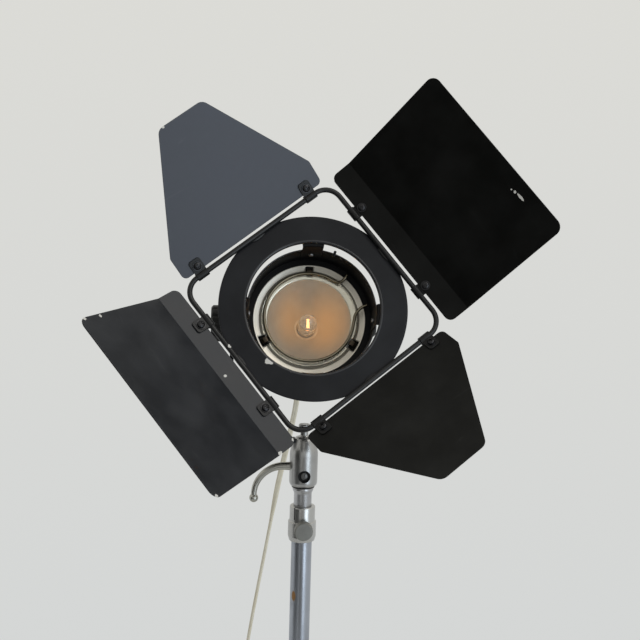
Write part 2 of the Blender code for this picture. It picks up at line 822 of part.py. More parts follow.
def build_stand_head(pan):
    top = PIVOT_HEIGHT - HEAD_TOP
    shoulder = PIVOT_HEIGHT - HEAD_SHOULDER
    bottom = PIVOT_HEIGHT - HEAD_BOTTOM
    bore_top = PIVOT_HEIGHT - HEAD_BORE_TOP
    bore = RISER_RADIUS + GAP
    head = add_mesh(
        "stand_head",
        revolve(
            [
                (0, top),
                (HEAD_NECK, top),
                (HEAD_NECK + 0.0015, top - 0.0040),
                (HEAD_RADIUS - 0.0060, top - 0.0140),
                (HEAD_RADIUS - 0.0012, shoulder + 0.0040),
                (HEAD_RADIUS, shoulder),
                (HEAD_RADIUS, bottom + 0.0025),
                (HEAD_RADIUS - 0.0020, bottom),
                (bore, bottom),
                (bore, bore_top),
                (0, bore_top),
            ],
            ROUND,
        ),
        STUFF["chrome"],
        pan,
    )
    slot_low = PIVOT_HEIGHT - ARM_DROP - ARM_THICK - GAP
    slot = prism(
        box_outline(-0.030, -ARM_END + GAP, -ARM_WIDTH / 2 - GAP, ARM_WIDTH / 2 + GAP),
        slot_low,
        slot_low + ARM_THICK + 2 * GAP,
    )
    add_boolean(head, add_cutter("arm_slot", slot, pan))
    recess_z = PIVOT_HEIGHT - RECESS_DEPTH_BELOW
    floor = -HEAD_RADIUS + RECESS_DEPTH
    recess = cylinder(RECESS_RADIUS, -0.030, floor, axis="y", segments=FINE)
    add_boolean(head, add_cutter("screw_recess", recess, pan, (0, 0, recess_z)))
    screw = revolve(
        [
            (0, floor - GAP),
            (RECESS_RADIUS - 0.0015, floor - GAP),
            (RECESS_RADIUS - 0.0015, floor - GAP - 0.0012),
            (RECESS_RADIUS - 0.0025, floor - GAP - 0.0020),
            (0, floor - GAP - 0.0020),
        ],
        FINE,
        axis="y",
    )
    add_mesh("recess_screw", screw, STUFF["grey_screw"], pan, (0, 0, recess_z))

    axis = add_empty("lever_axis", pan, (0, 0, PIVOT_HEIGHT - LEVER_BELOW))
    start = -(HEAD_RADIUS + GAP)
    points = [(start, 0, 0), (start - LEVER_STRAIGHT * 0.5, 0, 0)]
    middle = (start - LEVER_STRAIGHT, -LEVER_BEND)
    for x, z in arc(middle, LEVER_BEND, 90, 180, 8):
        points.append((x, 0, z))
    end = Vector(points[-1])
    ball_profile = arc((0, 0), LEVER_BALL, 90, -90, 8)
    ball_profile[0] = (0, LEVER_BALL)
    ball_profile[-1] = (0, -LEVER_BALL)
    ball = revolve(ball_profile, SMALL)
    lever = add_mesh("lock_lever", ball, STUFF["chrome"], axis)
    lever.data.transform(Matrix.Translation(end + Vector((0, 0, -LEVER_BALL * 0.6))))
    rod_mesh = add_cutter("lever_rod", tube_bmesh(points, LEVER_ROD, SMALL), axis)
    add_boolean(lever, rod_mesh, "UNION")


def tube_bmesh(points, radius, segments):
    """Bent round bar in the XZ plane."""
    bm = bmesh.new()
    rings = []
    points = [Vector(p) for p in points]
    for k, point in enumerate(points):
        ahead = points[min(k + 1, len(points) - 1)]
        behind = points[max(k - 1, 0)]
        along = (ahead - behind).normalized()
        side = Vector((0, 1, 0))
        up = along.cross(side)
        ring = []
        for j in range(segments):
            angle = 2 * math.pi * j / segments
            ring.append(bm.verts.new(point + radius * (math.cos(angle) * side + math.sin(angle) * up)))
        rings.append(ring)
    for first, second in zip(rings, rings[1:]):
        for j in range(segments):
            n = (j + 1) % segments
            bm.faces.new([first[j], first[n], second[n], second[j]])
    bm.faces.new(rings[0])
    bm.faces.new(rings[-1])
    return bm


def build_tubes(riser, collar_axis):
    top = PIVOT_HEIGHT - HEAD_BORE_TOP - GAP
    riser_inside = RISER_RADIUS - RISER_WALL
    add_mesh(
        "riser_tube",
        revolve(
            [
                (riser_inside, top),
                (RISER_RADIUS, top),
                (RISER_RADIUS, top - RISER_LENGTH),
                (riser_inside, top - RISER_LENGTH),
            ],
            FINE,
            loop=True,
        ),
        STUFF["chrome"],
        riser,
    )
    main_top = main_tube_top()
    main_inside = RISER_RADIUS + GAP
    main_bottom = HUB_HEIGHT - HUB_THICK / 2 + 0.004
    add_mesh(
        "main_tube",
        revolve(
            [
                (main_inside, main_top),
                (MAIN_RADIUS, main_top),
                (MAIN_RADIUS, main_bottom),
                (main_inside, main_bottom),
            ],
            FINE,
            loop=True,
        ),
        STUFF["chrome"],
    )
    high = PIVOT_HEIGHT - COLLAR_TOP
    step = PIVOT_HEIGHT - COLLAR_STEP
    low = PIVOT_HEIGHT - COLLAR_BOTTOM
    bore = MAIN_RADIUS + GAP
    neck = RISER_RADIUS + GAP
    add_mesh(
        "clamp_collar",
        revolve(
            [
                (neck, high),
                (COLLAR_RADIUS - 0.0008, high),
                (COLLAR_RADIUS, high - 0.0010),
                (COLLAR_RADIUS, step + 0.0008),
                (COLLAR_BULGE, step - 0.0004),
                (COLLAR_BULGE, low + 0.0060),
                (COLLAR_RADIUS, low),
                (bore, low),
                (bore, main_top + GAP),
                (neck, main_top + GAP),
            ],
            ROUND,
            loop=True,
        ),
        STUFF["chrome"],
    )
    add_mesh("clamp_knob", clamp_knob(COLLAR_BULGE), STUFF["chrome"], collar_axis)


def main_tube_top():
    return PIVOT_HEIGHT - COLLAR_BOTTOM + COLLAR_OVERLAP


def clamp_knob(surface):
    """Round clamping knob on a stud, its axis along -Y and its foot at the collar's surface."""
    start = -(surface + GAP)
    return revolve(
        [
            (0, start),
            (0.0025, start),
            (0.0025, start - 0.0030),
            (CLAMP_KNOB_RADIUS - 0.0015, start - 0.0030),
            (CLAMP_KNOB_RADIUS, start - 0.0045),
            (CLAMP_KNOB_RADIUS, start - CLAMP_KNOB_THICK),
            (CLAMP_KNOB_RADIUS - 0.0012, start - CLAMP_KNOB_THICK - 0.0015),
            (0, start - CLAMP_KNOB_THICK - 0.0015),
        ],
        FINE,
        axis="y",
    )


def leg_pivot_height():
    return HUB_HEIGHT + 2 * BRACE_LENGTH * math.cos(LEG_SPREAD)


def leg_length():
    """From the leg's pivot to the centre of its rubber foot's round end."""
    extra = (HUB_HEIGHT - FOOT_RADIUS + FOOT_FLAT) / math.cos(LEG_SPREAD)
    return 2 * BRACE_LENGTH + extra


def brace_offset():
    return LEG_RADIUS + GAP + BRACE_THICK / 2


def hub_mesh(name, parent, height, bar, offset, ear_sides):
    """Sleeve on the main tube with an ear or a pair of ears for each bar, and its cross pin."""
    low = height - HUB_THICK / 2
    high = height + HUB_THICK / 2
    bore = MAIN_RADIUS + GAP
    sleeve = revolve(
        [(bore, low), (bore, high), (HUB_RADIUS, high), (HUB_RADIUS, low)],
        ROUND,
        loop=True,
    )
    hub = add_mesh(name, sleeve, STUFF["black_plastic"], parent)
    inner = bar / 2 + GAP
    outer = inner + EAR_THICK
    root = math.sqrt(HUB_RADIUS ** 2 - (abs(offset) + outer) ** 2) - 0.0025
    ends = box_outline(root, PIVOT_RING + EAR_WIDTH / 2, low, high)
    rounded = round_corners(ends, [0, EAR_WIDTH / 2, EAR_WIDTH / 2, 0])
    pin_ends = (offset - (outer - 0.0004 if -1 in ear_sides else bar / 2), offset + outer - 0.0004)
    for k, direction in enumerate(LEG_DIRECTIONS):
        turn = (0, 0, math.radians(direction))
        for sign in ear_sides:
            y0, y1 = sorted((offset + sign * inner, offset + sign * outer))
            ear = prism(rounded, y0, y1, "xz")
            add_boolean(hub, add_cutter(f"{name}_ear_{k}_{sign}", ear, parent, rotation=turn), "UNION")
        pin = cylinder(PIN_RADIUS, *pin_ends, axis="y")
        pin.transform(Matrix.Translation((PIVOT_RING, 0, height)))
        add_boolean(hub, add_cutter(f"{name}_pin_{k}", pin, parent, rotation=turn), "UNION")


def build_tripod(slide):
    high = leg_pivot_height()
    hub_mesh("leg_collar", slide, high, TONGUE_THICK, 0.0, (-1, 1))
    hub_mesh("brace_hub", None, HUB_HEIGHT, BRACE_THICK, brace_offset(), (1,))
    for k, direction in enumerate(LEG_DIRECTIONS):
        name = ("rear", "left", "right")[k]
        turn = math.radians(direction)
        out = Vector((math.cos(turn), math.sin(turn), 0)) * PIVOT_RING
        leg_axis = add_empty(f"{name}_leg_axis", slide, out + Vector((0, 0, high)), (0, 0, turn))
        leg_swing = add_empty(f"{name}_leg_swing", leg_axis, rotation=(0, -LEG_SPREAD, 0))
        build_leg(name, leg_swing)
        brace_axis = add_empty(f"{name}_brace_axis", None, out + Vector((0, 0, HUB_HEIGHT)), (0, 0, turn))
        brace_swing = add_empty(f"{name}_brace_swing", brace_axis, rotation=(0, LEG_SPREAD, 0))
        build_brace(name, brace_swing)
    knob_axis = add_empty("leg_knob_axis", slide, (0, 0, high))
    knob = clamp_knob(HUB_RADIUS)
    add_mesh("leg_knob", knob, STUFF["black_plastic"], knob_axis)


def build_leg(name, swing):
    """Leg tube hanging from its pivot, with a flat tongue between the collar's ears."""
    end = leg_length() - 0.004
    start = TONGUE_LENGTH - 0.006
    tube = cylinder(LEG_RADIUS, -end, -start, segments=16)
    leg = add_mesh(f"{name}_leg", tube, STUFF["chrome"], swing)
    flat = round_corners(
        box_outline(-TONGUE_WIDTH / 2, TONGUE_WIDTH / 2, -TONGUE_LENGTH - 0.006, TONGUE_WIDTH / 2),
        [0, 0, TONGUE_WIDTH / 2.05, TONGUE_WIDTH / 2.05],
    )
    tongue = prism(flat, -TONGUE_THICK / 2, TONGUE_THICK / 2, "xz")
    add_boolean(leg, add_cutter(f"{name}_tongue", tongue, swing), "UNION")
    hole = cylinder(PIN_RADIUS + GAP, -0.010, 0.010, axis="y")
    add_boolean(leg, add_cutter(f"{name}_leg_hole", hole, swing))

    centre = -leg_length()
    bore = LEG_RADIUS + GAP
    bore_end = -(end + GAP)
    round_end = [(FOOT_RADIUS * math.cos(a), centre - FOOT_RADIUS * math.sin(a)) for a in quarter_turn()]
    round_end[-1] = (0, centre - FOOT_RADIUS)
    foot = revolve(
        [
            (0, bore_end),
            (bore, bore_end),
            (bore, centre + FOOT_LENGTH),
            (FOOT_RADIUS - 0.0008, centre + FOOT_LENGTH),
        ]
        + round_end,
        FINE,
    )
    down = Vector((-math.sin(LEG_SPREAD), 0, -math.cos(LEG_SPREAD)))
    cut = bmesh.ops.bisect_plane(
        foot,
        geom=foot.verts[:] + foot.edges[:] + foot.faces[:],
        plane_co=Vector((0, 0, centre)) + down * (FOOT_RADIUS - FOOT_FLAT),
        plane_no=down,
        clear_outer=True,
    )
    rim = [item for item in cut["geom_cut"] if isinstance(item, bmesh.types.BMEdge)]
    bmesh.ops.edgeloop_fill(foot, edges=rim)
    add_mesh(f"{name}_foot", foot, STUFF["rubber"], swing)


def quarter_turn():
    return [math.pi / 2 * k / 5 for k in range(6)]


def build_brace(name, swing):
    """Flat bar from the brace hub to its rivet beside the middle of the leg."""
    half = BRACE_WIDTH / 2
    outline = arc((0, BRACE_LENGTH), half, 0, 180, 8) + arc((0, 0), half, 180, 360, 8)
    middle = brace_offset()
    low = middle - BRACE_THICK / 2
    high = middle + BRACE_THICK / 2
    brace = add_mesh(f"{name}_brace", prism(outline, low, high, "xz"), STUFF["chrome"], swing)
    hole = cylinder(PIN_RADIUS + GAP, low - 0.003, high + 0.003, axis="y")
    add_boolean(brace, add_cutter(f"{name}_brace_hole", hole, swing))
    rivet = revolve(
        [(0, high - 0.0005), (0.0038, high - 0.0005), (0.0032, high + 0.0014), (0, high + 0.0018)],
        SMALL,
        axis="y",
    )
    rivet.transform(Matrix.Translation((0, 0, BRACE_LENGTH)))
    add_boolean(brace, add_cutter(f"{name}_rivet", rivet, swing), "UNION")


def cord_route():
    """Hand-picked points from the gland, down behind the stand, to the coil on the floor."""
    back = Vector((0, math.cos(TILT_UP), -math.sin(TILT_UP)))
    pivot = Vector((0, 0, PIVOT_HEIGHT))
    start = pivot + back * (GAP - PIVOT_BACK - gland_tip())
    coil = coil_points()
    meet = coil[0]
    along = (coil[0] - coil[1]).normalized()
    return [
        start,
        start + back * 0.012,
        Vector((0.001, 0.127, 1.050)),
        Vector((0.001, 0.136, 1.018)),
        Vector((0.000, 0.138, 0.992)),
        Vector((-0.0085, 0.137, 0.946)),
        Vector((-0.0187, 0.137, 0.897)),
        Vector((-0.0326, 0.137, 0.815)),
        Vector((-0.052, 0.137, 0.696)),
        Vector((-0.074, 0.138, 0.520)),
        Vector((-0.089, 0.139, 0.330)),
        Vector((-0.096, 0.140, 0.150)),
        Vector((-0.100, 0.1425, 0.060)),
        Vector((-0.110, 0.1485, 0.020)),
        Vector((-0.128, 0.159, 0.0055)),
        meet + along * 0.024,
        meet + along * 0.012,
        meet + along * 0.006,
        meet + along * GAP * 1.3,
    ]


def coil_points():
    """Two layers of loops: the lower spirals in, the upper spirals out above it."""
    centre = Vector((*COIL_CENTRE, 0))
    floor = CORD_RADIUS + CORD_FLOOR
    rise = 2 * CORD_RADIUS + 2 * GAP
    turns = COIL_TURNS_IN + COIL_TURNS_OUT
    points = []
    for k in range(round(turns * COIL_POINTS) + 1):
        turned = k / COIL_POINTS
        inward = COIL_TURNS_IN - abs(turned - COIL_TURNS_IN)
        radius = COIL_OUTER - COIL_PITCH * inward
        climb = min(1.0, max(0.0, (turned - COIL_TURNS_IN + 0.25) / 0.5))
        height = floor + rise * (3 * climb ** 2 - 2 * climb ** 3)
        angle = COIL_START + 2 * math.pi * turned
        points.append(centre + Vector((radius * math.cos(angle), radius * math.sin(angle), height)))
    along = (points[-1] - points[-2]).normalized()
    last = points[-1].copy()
    for share in (0.2, 0.4, 0.6, 0.8, 1.0):
        points.append(last + along * COIL_TAIL * share)
    return points


def least_gap(points, diameter, skip):
    best = 1.0
    for i, a in enumerate(points):
        for b in points[i + skip:]:
            best = min(best, (a - b).length)
    return best - diameter


def build_cord():
    route, length = smooth_route(cord_route(), 6 * CORD_RADIUS)
    add_tube("cord", route, CORD_RADIUS, STUFF["cream_cord"])
    coil = coil_points()
    add_tube("cord_coil", coil, CORD_RADIUS, STUFF["cream_cord"], resolution=1)
    coil_length = sum((b - a).length for a, b in zip(coil, coil[1:]))
    print("cord", round(length, 3), "coil", round(coil_length, 3))
    print("least gap of the coil", round(least_gap(coil, 2 * CORD_RADIUS, COIL_POINTS // 2), 5))

    along = (coil[-1] - coil[-2]).normalized()
    start = coil[-1] + along * GAP
    turn = math.atan2(along.y, along.x)
    body = prism(
        round_corners(
            box_outline(0, PLUG_LENGTH, -PLUG_WIDTH / 2, PLUG_WIDTH / 2),
            [0.007, 0.002, 0.002, 0.007],
        ),
        CORD_FLOOR - start.z,
        CORD_FLOOR - start.z + PLUG_HEIGHT,
    )
    plug = add_mesh("plug", body, STUFF["cream_cord"], None, start, (0, 0, turn))
    axis = add_empty("plug_pins", None, start, (0, 0, turn))
    for k, sign in enumerate((-1, 1)):
        pin = cylinder(PLUG_PIN_RADIUS, PLUG_LENGTH - 0.002, PLUG_LENGTH + PIN_LENGTH, axis="x")
        cutter = add_cutter(f"plug_pin_{k + 1}", pin, axis, (0, sign * PLUG_PIN_SPACE / 2, 0))
        add_boolean(plug, cutter, "UNION")


def main():
    add_empty("footprint_centre", None, (0, -STAND_FORWARD, 0))
    collar_axis = add_empty("clamp_axis", None, (0, 0, PIVOT_HEIGHT - CLAMP_BELOW))
    riser = add_empty("riser")
    build_tubes(riser, collar_axis)
    pan = add_empty("pan", riser)
    build_stand_head(pan)
    build_arm(pan)
    tilt = add_empty("tilt", pan, (0, 0, PIVOT_HEIGHT), (math.pi / 2 - TILT_UP, 0, 0))
    build_tilt_knob(add_empty("tilt_knob_axis", pan, (0, 0, PIVOT_HEIGHT)))
    face = add_empty("ring_face", tilt, (0, 0, PIVOT_BACK))
    build_housing(face)
    build_optics(face)
    build_lamp_carriage(add_empty("focus_slide", face), face)
    build_brackets(face)
    barndoor = add_empty("barndoor", face, rotation=(0, 0, BARNDOOR_TURN))
    build_ring(barndoor)
    for index in range(4):
        build_leaf(index, barndoor)
    build_tripod(add_empty("leg_slide"))
    build_cord()


clear_scene()
STUFF = make_materials()
main()
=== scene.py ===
# Looks of the film spotlight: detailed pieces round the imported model, in metres.

import math

import bmesh
import bpy
from mathutils import Matrix, Vector


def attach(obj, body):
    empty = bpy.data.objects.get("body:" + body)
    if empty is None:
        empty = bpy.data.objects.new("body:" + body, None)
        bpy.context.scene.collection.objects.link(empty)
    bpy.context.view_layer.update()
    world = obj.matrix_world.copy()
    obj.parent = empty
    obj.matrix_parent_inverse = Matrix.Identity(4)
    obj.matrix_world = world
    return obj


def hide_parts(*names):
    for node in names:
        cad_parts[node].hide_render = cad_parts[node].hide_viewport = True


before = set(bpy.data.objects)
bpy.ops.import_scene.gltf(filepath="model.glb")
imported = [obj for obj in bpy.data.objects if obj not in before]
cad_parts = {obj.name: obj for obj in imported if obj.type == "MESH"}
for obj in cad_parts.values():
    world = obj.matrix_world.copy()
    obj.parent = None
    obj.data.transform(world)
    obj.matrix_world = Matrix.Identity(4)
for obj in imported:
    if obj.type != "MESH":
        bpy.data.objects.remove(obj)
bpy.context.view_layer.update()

# Places and sizes that the model has
GAP = 0.0003
STAND_FORWARD = 0.0932
PIVOT_HEIGHT = 1.1
PIVOT_BACK = 0.08
TILT_UP = math.radians(18.5)
BARNDOOR_TURN = math.radians(38.3)
HOUSING_RADIUS = 0.065
HOUSING_WALL = 0.0012
HOUSING_FRONT = -0.0205
HOUSING_REAR = -0.15
RING_RADIUS = 0.0925
RING_HOLE = 0.0656
RING_SHEET = 0.0015
RING_LIP = 0.0038
ROD_RADIUS = 0.0026
ROD_HEIGHT = 0.0029
ROD_HALF_SIDE = 0.0902
ROD_CORNER = 0.0174
SHEET = 0.0012
LEAF_START = 0.0051
SMALL_HALF = 0.0842
SMALL_SHOULDER = 0.0299
SMALL_REACH = 0.1359
SMALL_TIP_HALF = 0.025
LARGE_HALF = 0.0932
LARGE_FOLD = 0.0282
LARGE_PANEL = 0.1251
LARGE_BEND = math.radians(30.5)
LEAF_CORNER = 0.009
LEAF_ANGLES = (15.6, 27.5, 24.7, 37.6)
LEAF_NAMES = ("large_leaf_a", "small_leaf_a", "large_leaf_b", "small_leaf_b")
TAB_BEHIND = (True, False, False, False)
CLIP_SHEET = 0.0012
CLIP_WIDTH = 0.0125
CLIP_REACH = 0.017
CLIP_PLACES = (0.05, 0.0665)
SCREW_REACH = 0.01
MOUTH_RADIUS = 0.0432
MOUTH_Z = -0.0586
BASE_RADIUS = 0.013
BASE_Z = -0.1
RIM_RADIUS = 0.0573
RIM_Z = -0.052
GLASS_RADIUS = 0.049
GLASS_BACK = -0.0551
GLASS_THICK = 0.003
WINDOWS = ((90, 4.2), (206.5, 6.4), (330.5, 6.4))
SPRING_RADIUS = 0.046
SPRING_WIRE = 0.0016
ARM_INSIDE = 0.0765
ARM_THICK = 0.004
ARM_WIDTH = 0.024
ARM_DROP = 0.132
ARM_TOP = 0.015
CORD_EXIT = 0.0983
RISER_RADIUS = 0.0095
MAIN_RADIUS = 0.011
TUBE_BORE = 0.0098
LOW_HUB = 0.09
HUB_HALF = 0.012
FOOT_RADIUS = 0.0095
FOOT_CUT = 0.0008
EAR_REACH = 0.03
RECESS_Z = -0.1594
LEG_DIRECTIONS = (90, 210, 330)
ROUND = 128
FINE = 64
NEARLY = 1e-6

STAND = Matrix.Translation((0, -STAND_FORWARD, 0))
PIVOT = STAND @ Matrix.Translation((0, 0, PIVOT_HEIGHT))
LAMP = PIVOT @ Matrix.Rotation(math.pi / 2 - TILT_UP, 4, "X") @ Matrix.Translation((0, 0, PIVOT_BACK))
BARNDOOR = LAMP @ Matrix.Rotation(BARNDOOR_TURN, 4, "Z")


def make_camera():
    """The photograph's view: the camera stands a metre in front, a little high and to the left."""
    right = Vector((0.99574, -0.08796, 0.02779))
    down = Vector((0.01912, -0.09795, -0.99501))
    forward = Vector((0.09024, 0.9913, -0.09585))
    place = Vector((-0.07798, -1.0022, 0.10243)) + Vector((0, -STAND_FORWARD, PIVOT_HEIGHT))
    camera = bpy.data.objects.new("camera", bpy.data.cameras.new("camera"))
    camera.data.sensor_width = 36.0
    camera.data.lens = 36.0 * 961 / 640
    axes = Matrix((right, -down, -forward)).transposed().to_4x4()
    camera.matrix_world = Matrix.Translation(place) @ axes
    bpy.context.scene.collection.objects.link(camera)
    bpy.context.scene.camera = camera


# Mesh helpers


def shift(x, y, z):
    return Matrix.Translation((x, y, z))


def spin(degrees, axis="Z"):
    return Matrix.Rotation(math.radians(degrees), 4, axis)


def place_mesh(name, bm, mat, matrix, bevel=0.0, angle=35, outward=True):
    if outward:
        bmesh.ops.recalc_face_normals(bm, faces=bm.faces)
    mesh = bpy.data.meshes.new(name)
    bm.to_mesh(mesh)
    bm.free()
    mesh.materials.append(mat)
    mesh.shade_smooth()
    mesh.set_sharp_from_angle(angle=math.radians(angle))
    obj = bpy.data.objects.new(name, mesh)
    bpy.context.scene.collection.objects.link(obj)
    obj.matrix_world = matrix
    if bevel:
        add_bevel(obj, bevel, angle).harden_normals = True
    return obj


def add_bevel(obj, width, angle):
    modifier = obj.modifiers.new("bevel", "BEVEL")
    modifier.width = width
    modifier.segments = 2
    modifier.limit_method = "ANGLE"
    modifier.angle_limit = math.radians(angle)
    return modifier


def piece(name, bm, finish, matrix, body, *nodes, **options):
    """A mesh in one of the finishes. It rides on its body and stands for the given nodes."""
    obj = place_mesh(name, bm, STUFF[finish], matrix, **options)
    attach(obj, body)
    if nodes:
        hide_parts(*nodes)
    return obj


def turned_point(radius, angle, along, axis):
    u = radius * math.cos(angle)
    v = radius * math.sin(angle)
    if axis == "x":
        return (along, u, v)
    if axis == "y":
        return (u, along, v)
    return (u, v, along)


def revolve(profile, segments=ROUND, loop=False, axis="z", wobble=None):
    """Turned solid; a loop profile is a ring, an open one starts and ends on the axis."""
    bm = bmesh.new()
    rings = []
    for radius, along in rounded(profile, closed=False):
        if radius < NEARLY:
            rings.append([bm.verts.new(turned_point(0, 0, along, axis))] * segments)
            continue
        ring = []
        for k in range(segments):
            turn = 2 * math.pi * k / segments
            extra = wobble(radius, turn) if wobble else 0
            ring.append(bm.verts.new(turned_point(radius + extra, turn, along, axis)))
        rings.append(ring)
    if loop:
        rings.append(rings[0])
    for first, second in zip(rings, rings[1:]):
        for k in range(segments):
            n = (k + 1) % segments
            bm.faces.new(list(dict.fromkeys([first[k], first[n], second[n], second[k]])))
    return bm


def fluting(count, depth, edge, shape=lambda wave: 0.5 + 0.5 * wave):
    """Grooves round a knob's rim, where the knob is wider than the edge."""
    return lambda radius, turn: -depth * shape(math.cos(count * turn)) if radius > edge else 0.0


def prism(outline, low, high, plane="xy"):
    place = {
        "xy": lambda p, t: (p[0], p[1], t),
        "xz": lambda p, t: (p[0], t, p[1]),
    }[plane]
    bm = bmesh.new()
    bottom = [bm.verts.new(place(p, low)) for p in outline]
    top = [bm.verts.new(place(p, high)) for p in outline]
    bm.faces.new(bottom)
    bm.faces.new(top)
    for k in range(len(outline)):
        n = (k + 1) % len(outline)
        bm.faces.new([bottom[k], bottom[n], top[n], top[k]])
    return bm


def ball(radius, around, along):
    bm = bmesh.new()
    bmesh.ops.create_uvsphere(bm, u_segments=around, v_segments=along, radius=radius)
    return bm


def arc(centre, radius, start, end, steps):
    points = []
    for k in range(steps + 1):
        angle = math.radians(start + (end - start) * k / steps)
        points.append((centre[0] + radius * math.cos(angle), centre[1] + radius * math.sin(angle)))
    return points


def rounded(points, radii=0, steps=5, closed=True):
    """Line with its corners replaced by tangent arcs. A point's third number is its own radius."""
    result = []
    count = len(points)
    for k, (x, y, *own) in enumerate(points):
        radius = own[0] if own else radii[k] if hasattr(radii, "__len__") else radii
        corner = Vector((x, y))
        if radius == 0 or (not closed and k in (0, count - 1)):
            result.append((x, y))
            continue
        before = (Vector(points[k - 1][:2]) - corner).normalized()
        after = (Vector(points[(k + 1) % count][:2]) - corner).normalized()
        half = before.angle(after) / 2
        if half > math.radians(88):
            result.append((x, y))
            continue
        start = corner + before * (radius / math.tan(half))
        middle = corner + (before + after).normalized() * (radius / math.sin(half))
        opening = math.pi - 2 * half
        turn = 1 if before.x * after.y - before.y * after.x < 0 else -1
        for j in range(steps + 1):
            spoke = Matrix.Rotation(turn * opening * j / steps, 2) @ (start - middle)
            result.append(tuple(middle + spoke))
    return result


def box_outline(x0, x1, y0, y1):
    return [(x0, y0), (x1, y0), (x1, y1), (x0, y1)]


def sweep(points, section, closed=False, ups=None):
    """Tube along the points; section(k, count) gives the outline in the plane across them."""
    bm = bmesh.new()
    points = [Vector(p) for p in points]
    count = len(points)
    rings = []
    up = None
    for k, point in enumerate(points):
        ahead = points[(k + 1) % count] if closed or k < count - 1 else point
        behind = points[k - 1] if closed or k > 0 else point
        along = (ahead - behind).normalized()
        if ups is not None:
            up = Vector(ups[k])
        elif up is None:
            up = Vector((0, 0, 1)) if abs(along.z) < 0.9 else Vector((1, 0, 0))
        up = (up - along * up.dot(along)).normalized()
        side = along.cross(up)
        rings.append([bm.verts.new(point + side * a + up * b) for a, b in section(k, count)])
    pairs = list(zip(rings, rings[1:] + rings[:1])) if closed else list(zip(rings, rings[1:]))
    size = len(rings[0])
    for first, second in pairs:
        for j in range(size):
            n = (j + 1) % size
            bm.faces.new([first[j], first[n], second[n], second[j]])
    if not closed:
        bm.faces.new(rings[0])
        bm.faces.new(rings[-1])
    return bm


def round_section(radius, segments):
    """Section for sweep; the radius is a number or a function of the share of the way."""
    turns = [2 * math.pi * j / segments for j in range(segments)]

    def outline(k, count):
        size = radius(k / (count - 1)) if callable(radius) else radius
        return [(size * math.cos(turn), size * math.sin(turn)) for turn in turns]

    return outline


def smooth_route(points, spacing):
    """Evenly spaced points along a centripetal Catmull-Rom curve through the route's points."""
    points = [Vector(p) for p in points]
    first = points[0] + (points[0] - points[1])
    last = points[-1] + (points[-1] - points[-2])
    padded = [first] + points + [last]
    dense = []
    for k in range(1, len(padded) - 2):
        p0, p1, p2, p3 = padded[k - 1:k + 3]
        t1 = (p1 - p0).length ** 0.5
        t2 = t1 + (p2 - p1).length ** 0.5
        t3 = t2 + (p3 - p2).length ** 0.5
        for j in range(40):
            t = t1 + (t2 - t1) * j / 40
            a1 = p0 * ((t1 - t) / t1) + p1 * (t / t1)
            a2 = p1 * ((t2 - t) / (t2 - t1)) + p2 * ((t - t1) / (t2 - t1))
            a3 = p2 * ((t3 - t) / (t3 - t2)) + p3 * ((t - t2) / (t3 - t2))
            b1 = a1 * ((t2 - t) / t2) + a2 * (t / t2)
            b2 = a2 * ((t3 - t) / (t3 - t1)) + a3 * ((t - t1) / (t3 - t1))
            dense.append(b1 * ((t2 - t) / (t2 - t1)) + b2 * ((t - t1) / (t2 - t1)))
    dense.append(points[-1])
    lengths = [0.0]
    for a, b in zip(dense, dense[1:]):
        lengths.append(lengths[-1] + (b - a).length)
    count = max(2, round(lengths[-1] / spacing))
    result = []
    index = 0
    for k in range(count + 1):
        wanted = lengths[-1] * k / count
        while index < len(lengths) - 2 and lengths[index + 1] < wanted:
            index += 1
        share = (wanted - lengths[index]) / (lengths[index + 1] - lengths[index])
        result.append(dense[index].lerp(dense[index + 1], min(1.0, share)))
    return result, lengths[-1]


def split(bm, place, normal, **options):
    """Adds edges where the plane crosses the mesh."""
    everything = bm.verts[:] + bm.edges[:] + bm.faces[:]
    return bmesh.ops.bisect_plane(bm, geom=everything, plane_co=place, plane_no=normal, **options)


def level_edges(bm):
    """The mesh's edges that stay at one Y."""
    return [e for e in bm.edges if abs(e.verts[0].co.y - e.verts[1].co.y) < NEARLY]


def join(bm, other, matrix=Matrix.Identity(4)):
    """Adds the other mesh, moved by the matrix, to the first and frees it."""
    other.transform(matrix)
    mesh = bpy.data.meshes.new("part")
    other.to_mesh(mesh)
    other.free()
    bm.from_mesh(mesh)
    bpy.data.meshes.remove(mesh)


def cut(obj, matrix, *solids):
    """Takes the solids, placed by the object's matrix, out of its mesh for good."""
    tools = [place_mesh("tool", bm, obj.data.materials[0], matrix) for bm in solids]
    for tool in tools:
        modifier = obj.modifiers.new("cut", "BOOLEAN")
        modifier.object = tool
        modifier.solver = "EXACT"
    bpy.context.view_layer.update()
    graph = bpy.context.evaluated_depsgraph_get()
    mesh = bpy.data.meshes.new_from_object(obj.evaluated_get(graph))
    mesh.name = obj.name
    obj.modifiers.clear()
    obj.data = mesh
    for tool in tools:
        bpy.data.objects.remove(tool)
    mesh.shade_smooth()
    mesh.set_sharp_from_angle(angle=math.radians(30))


# Materials


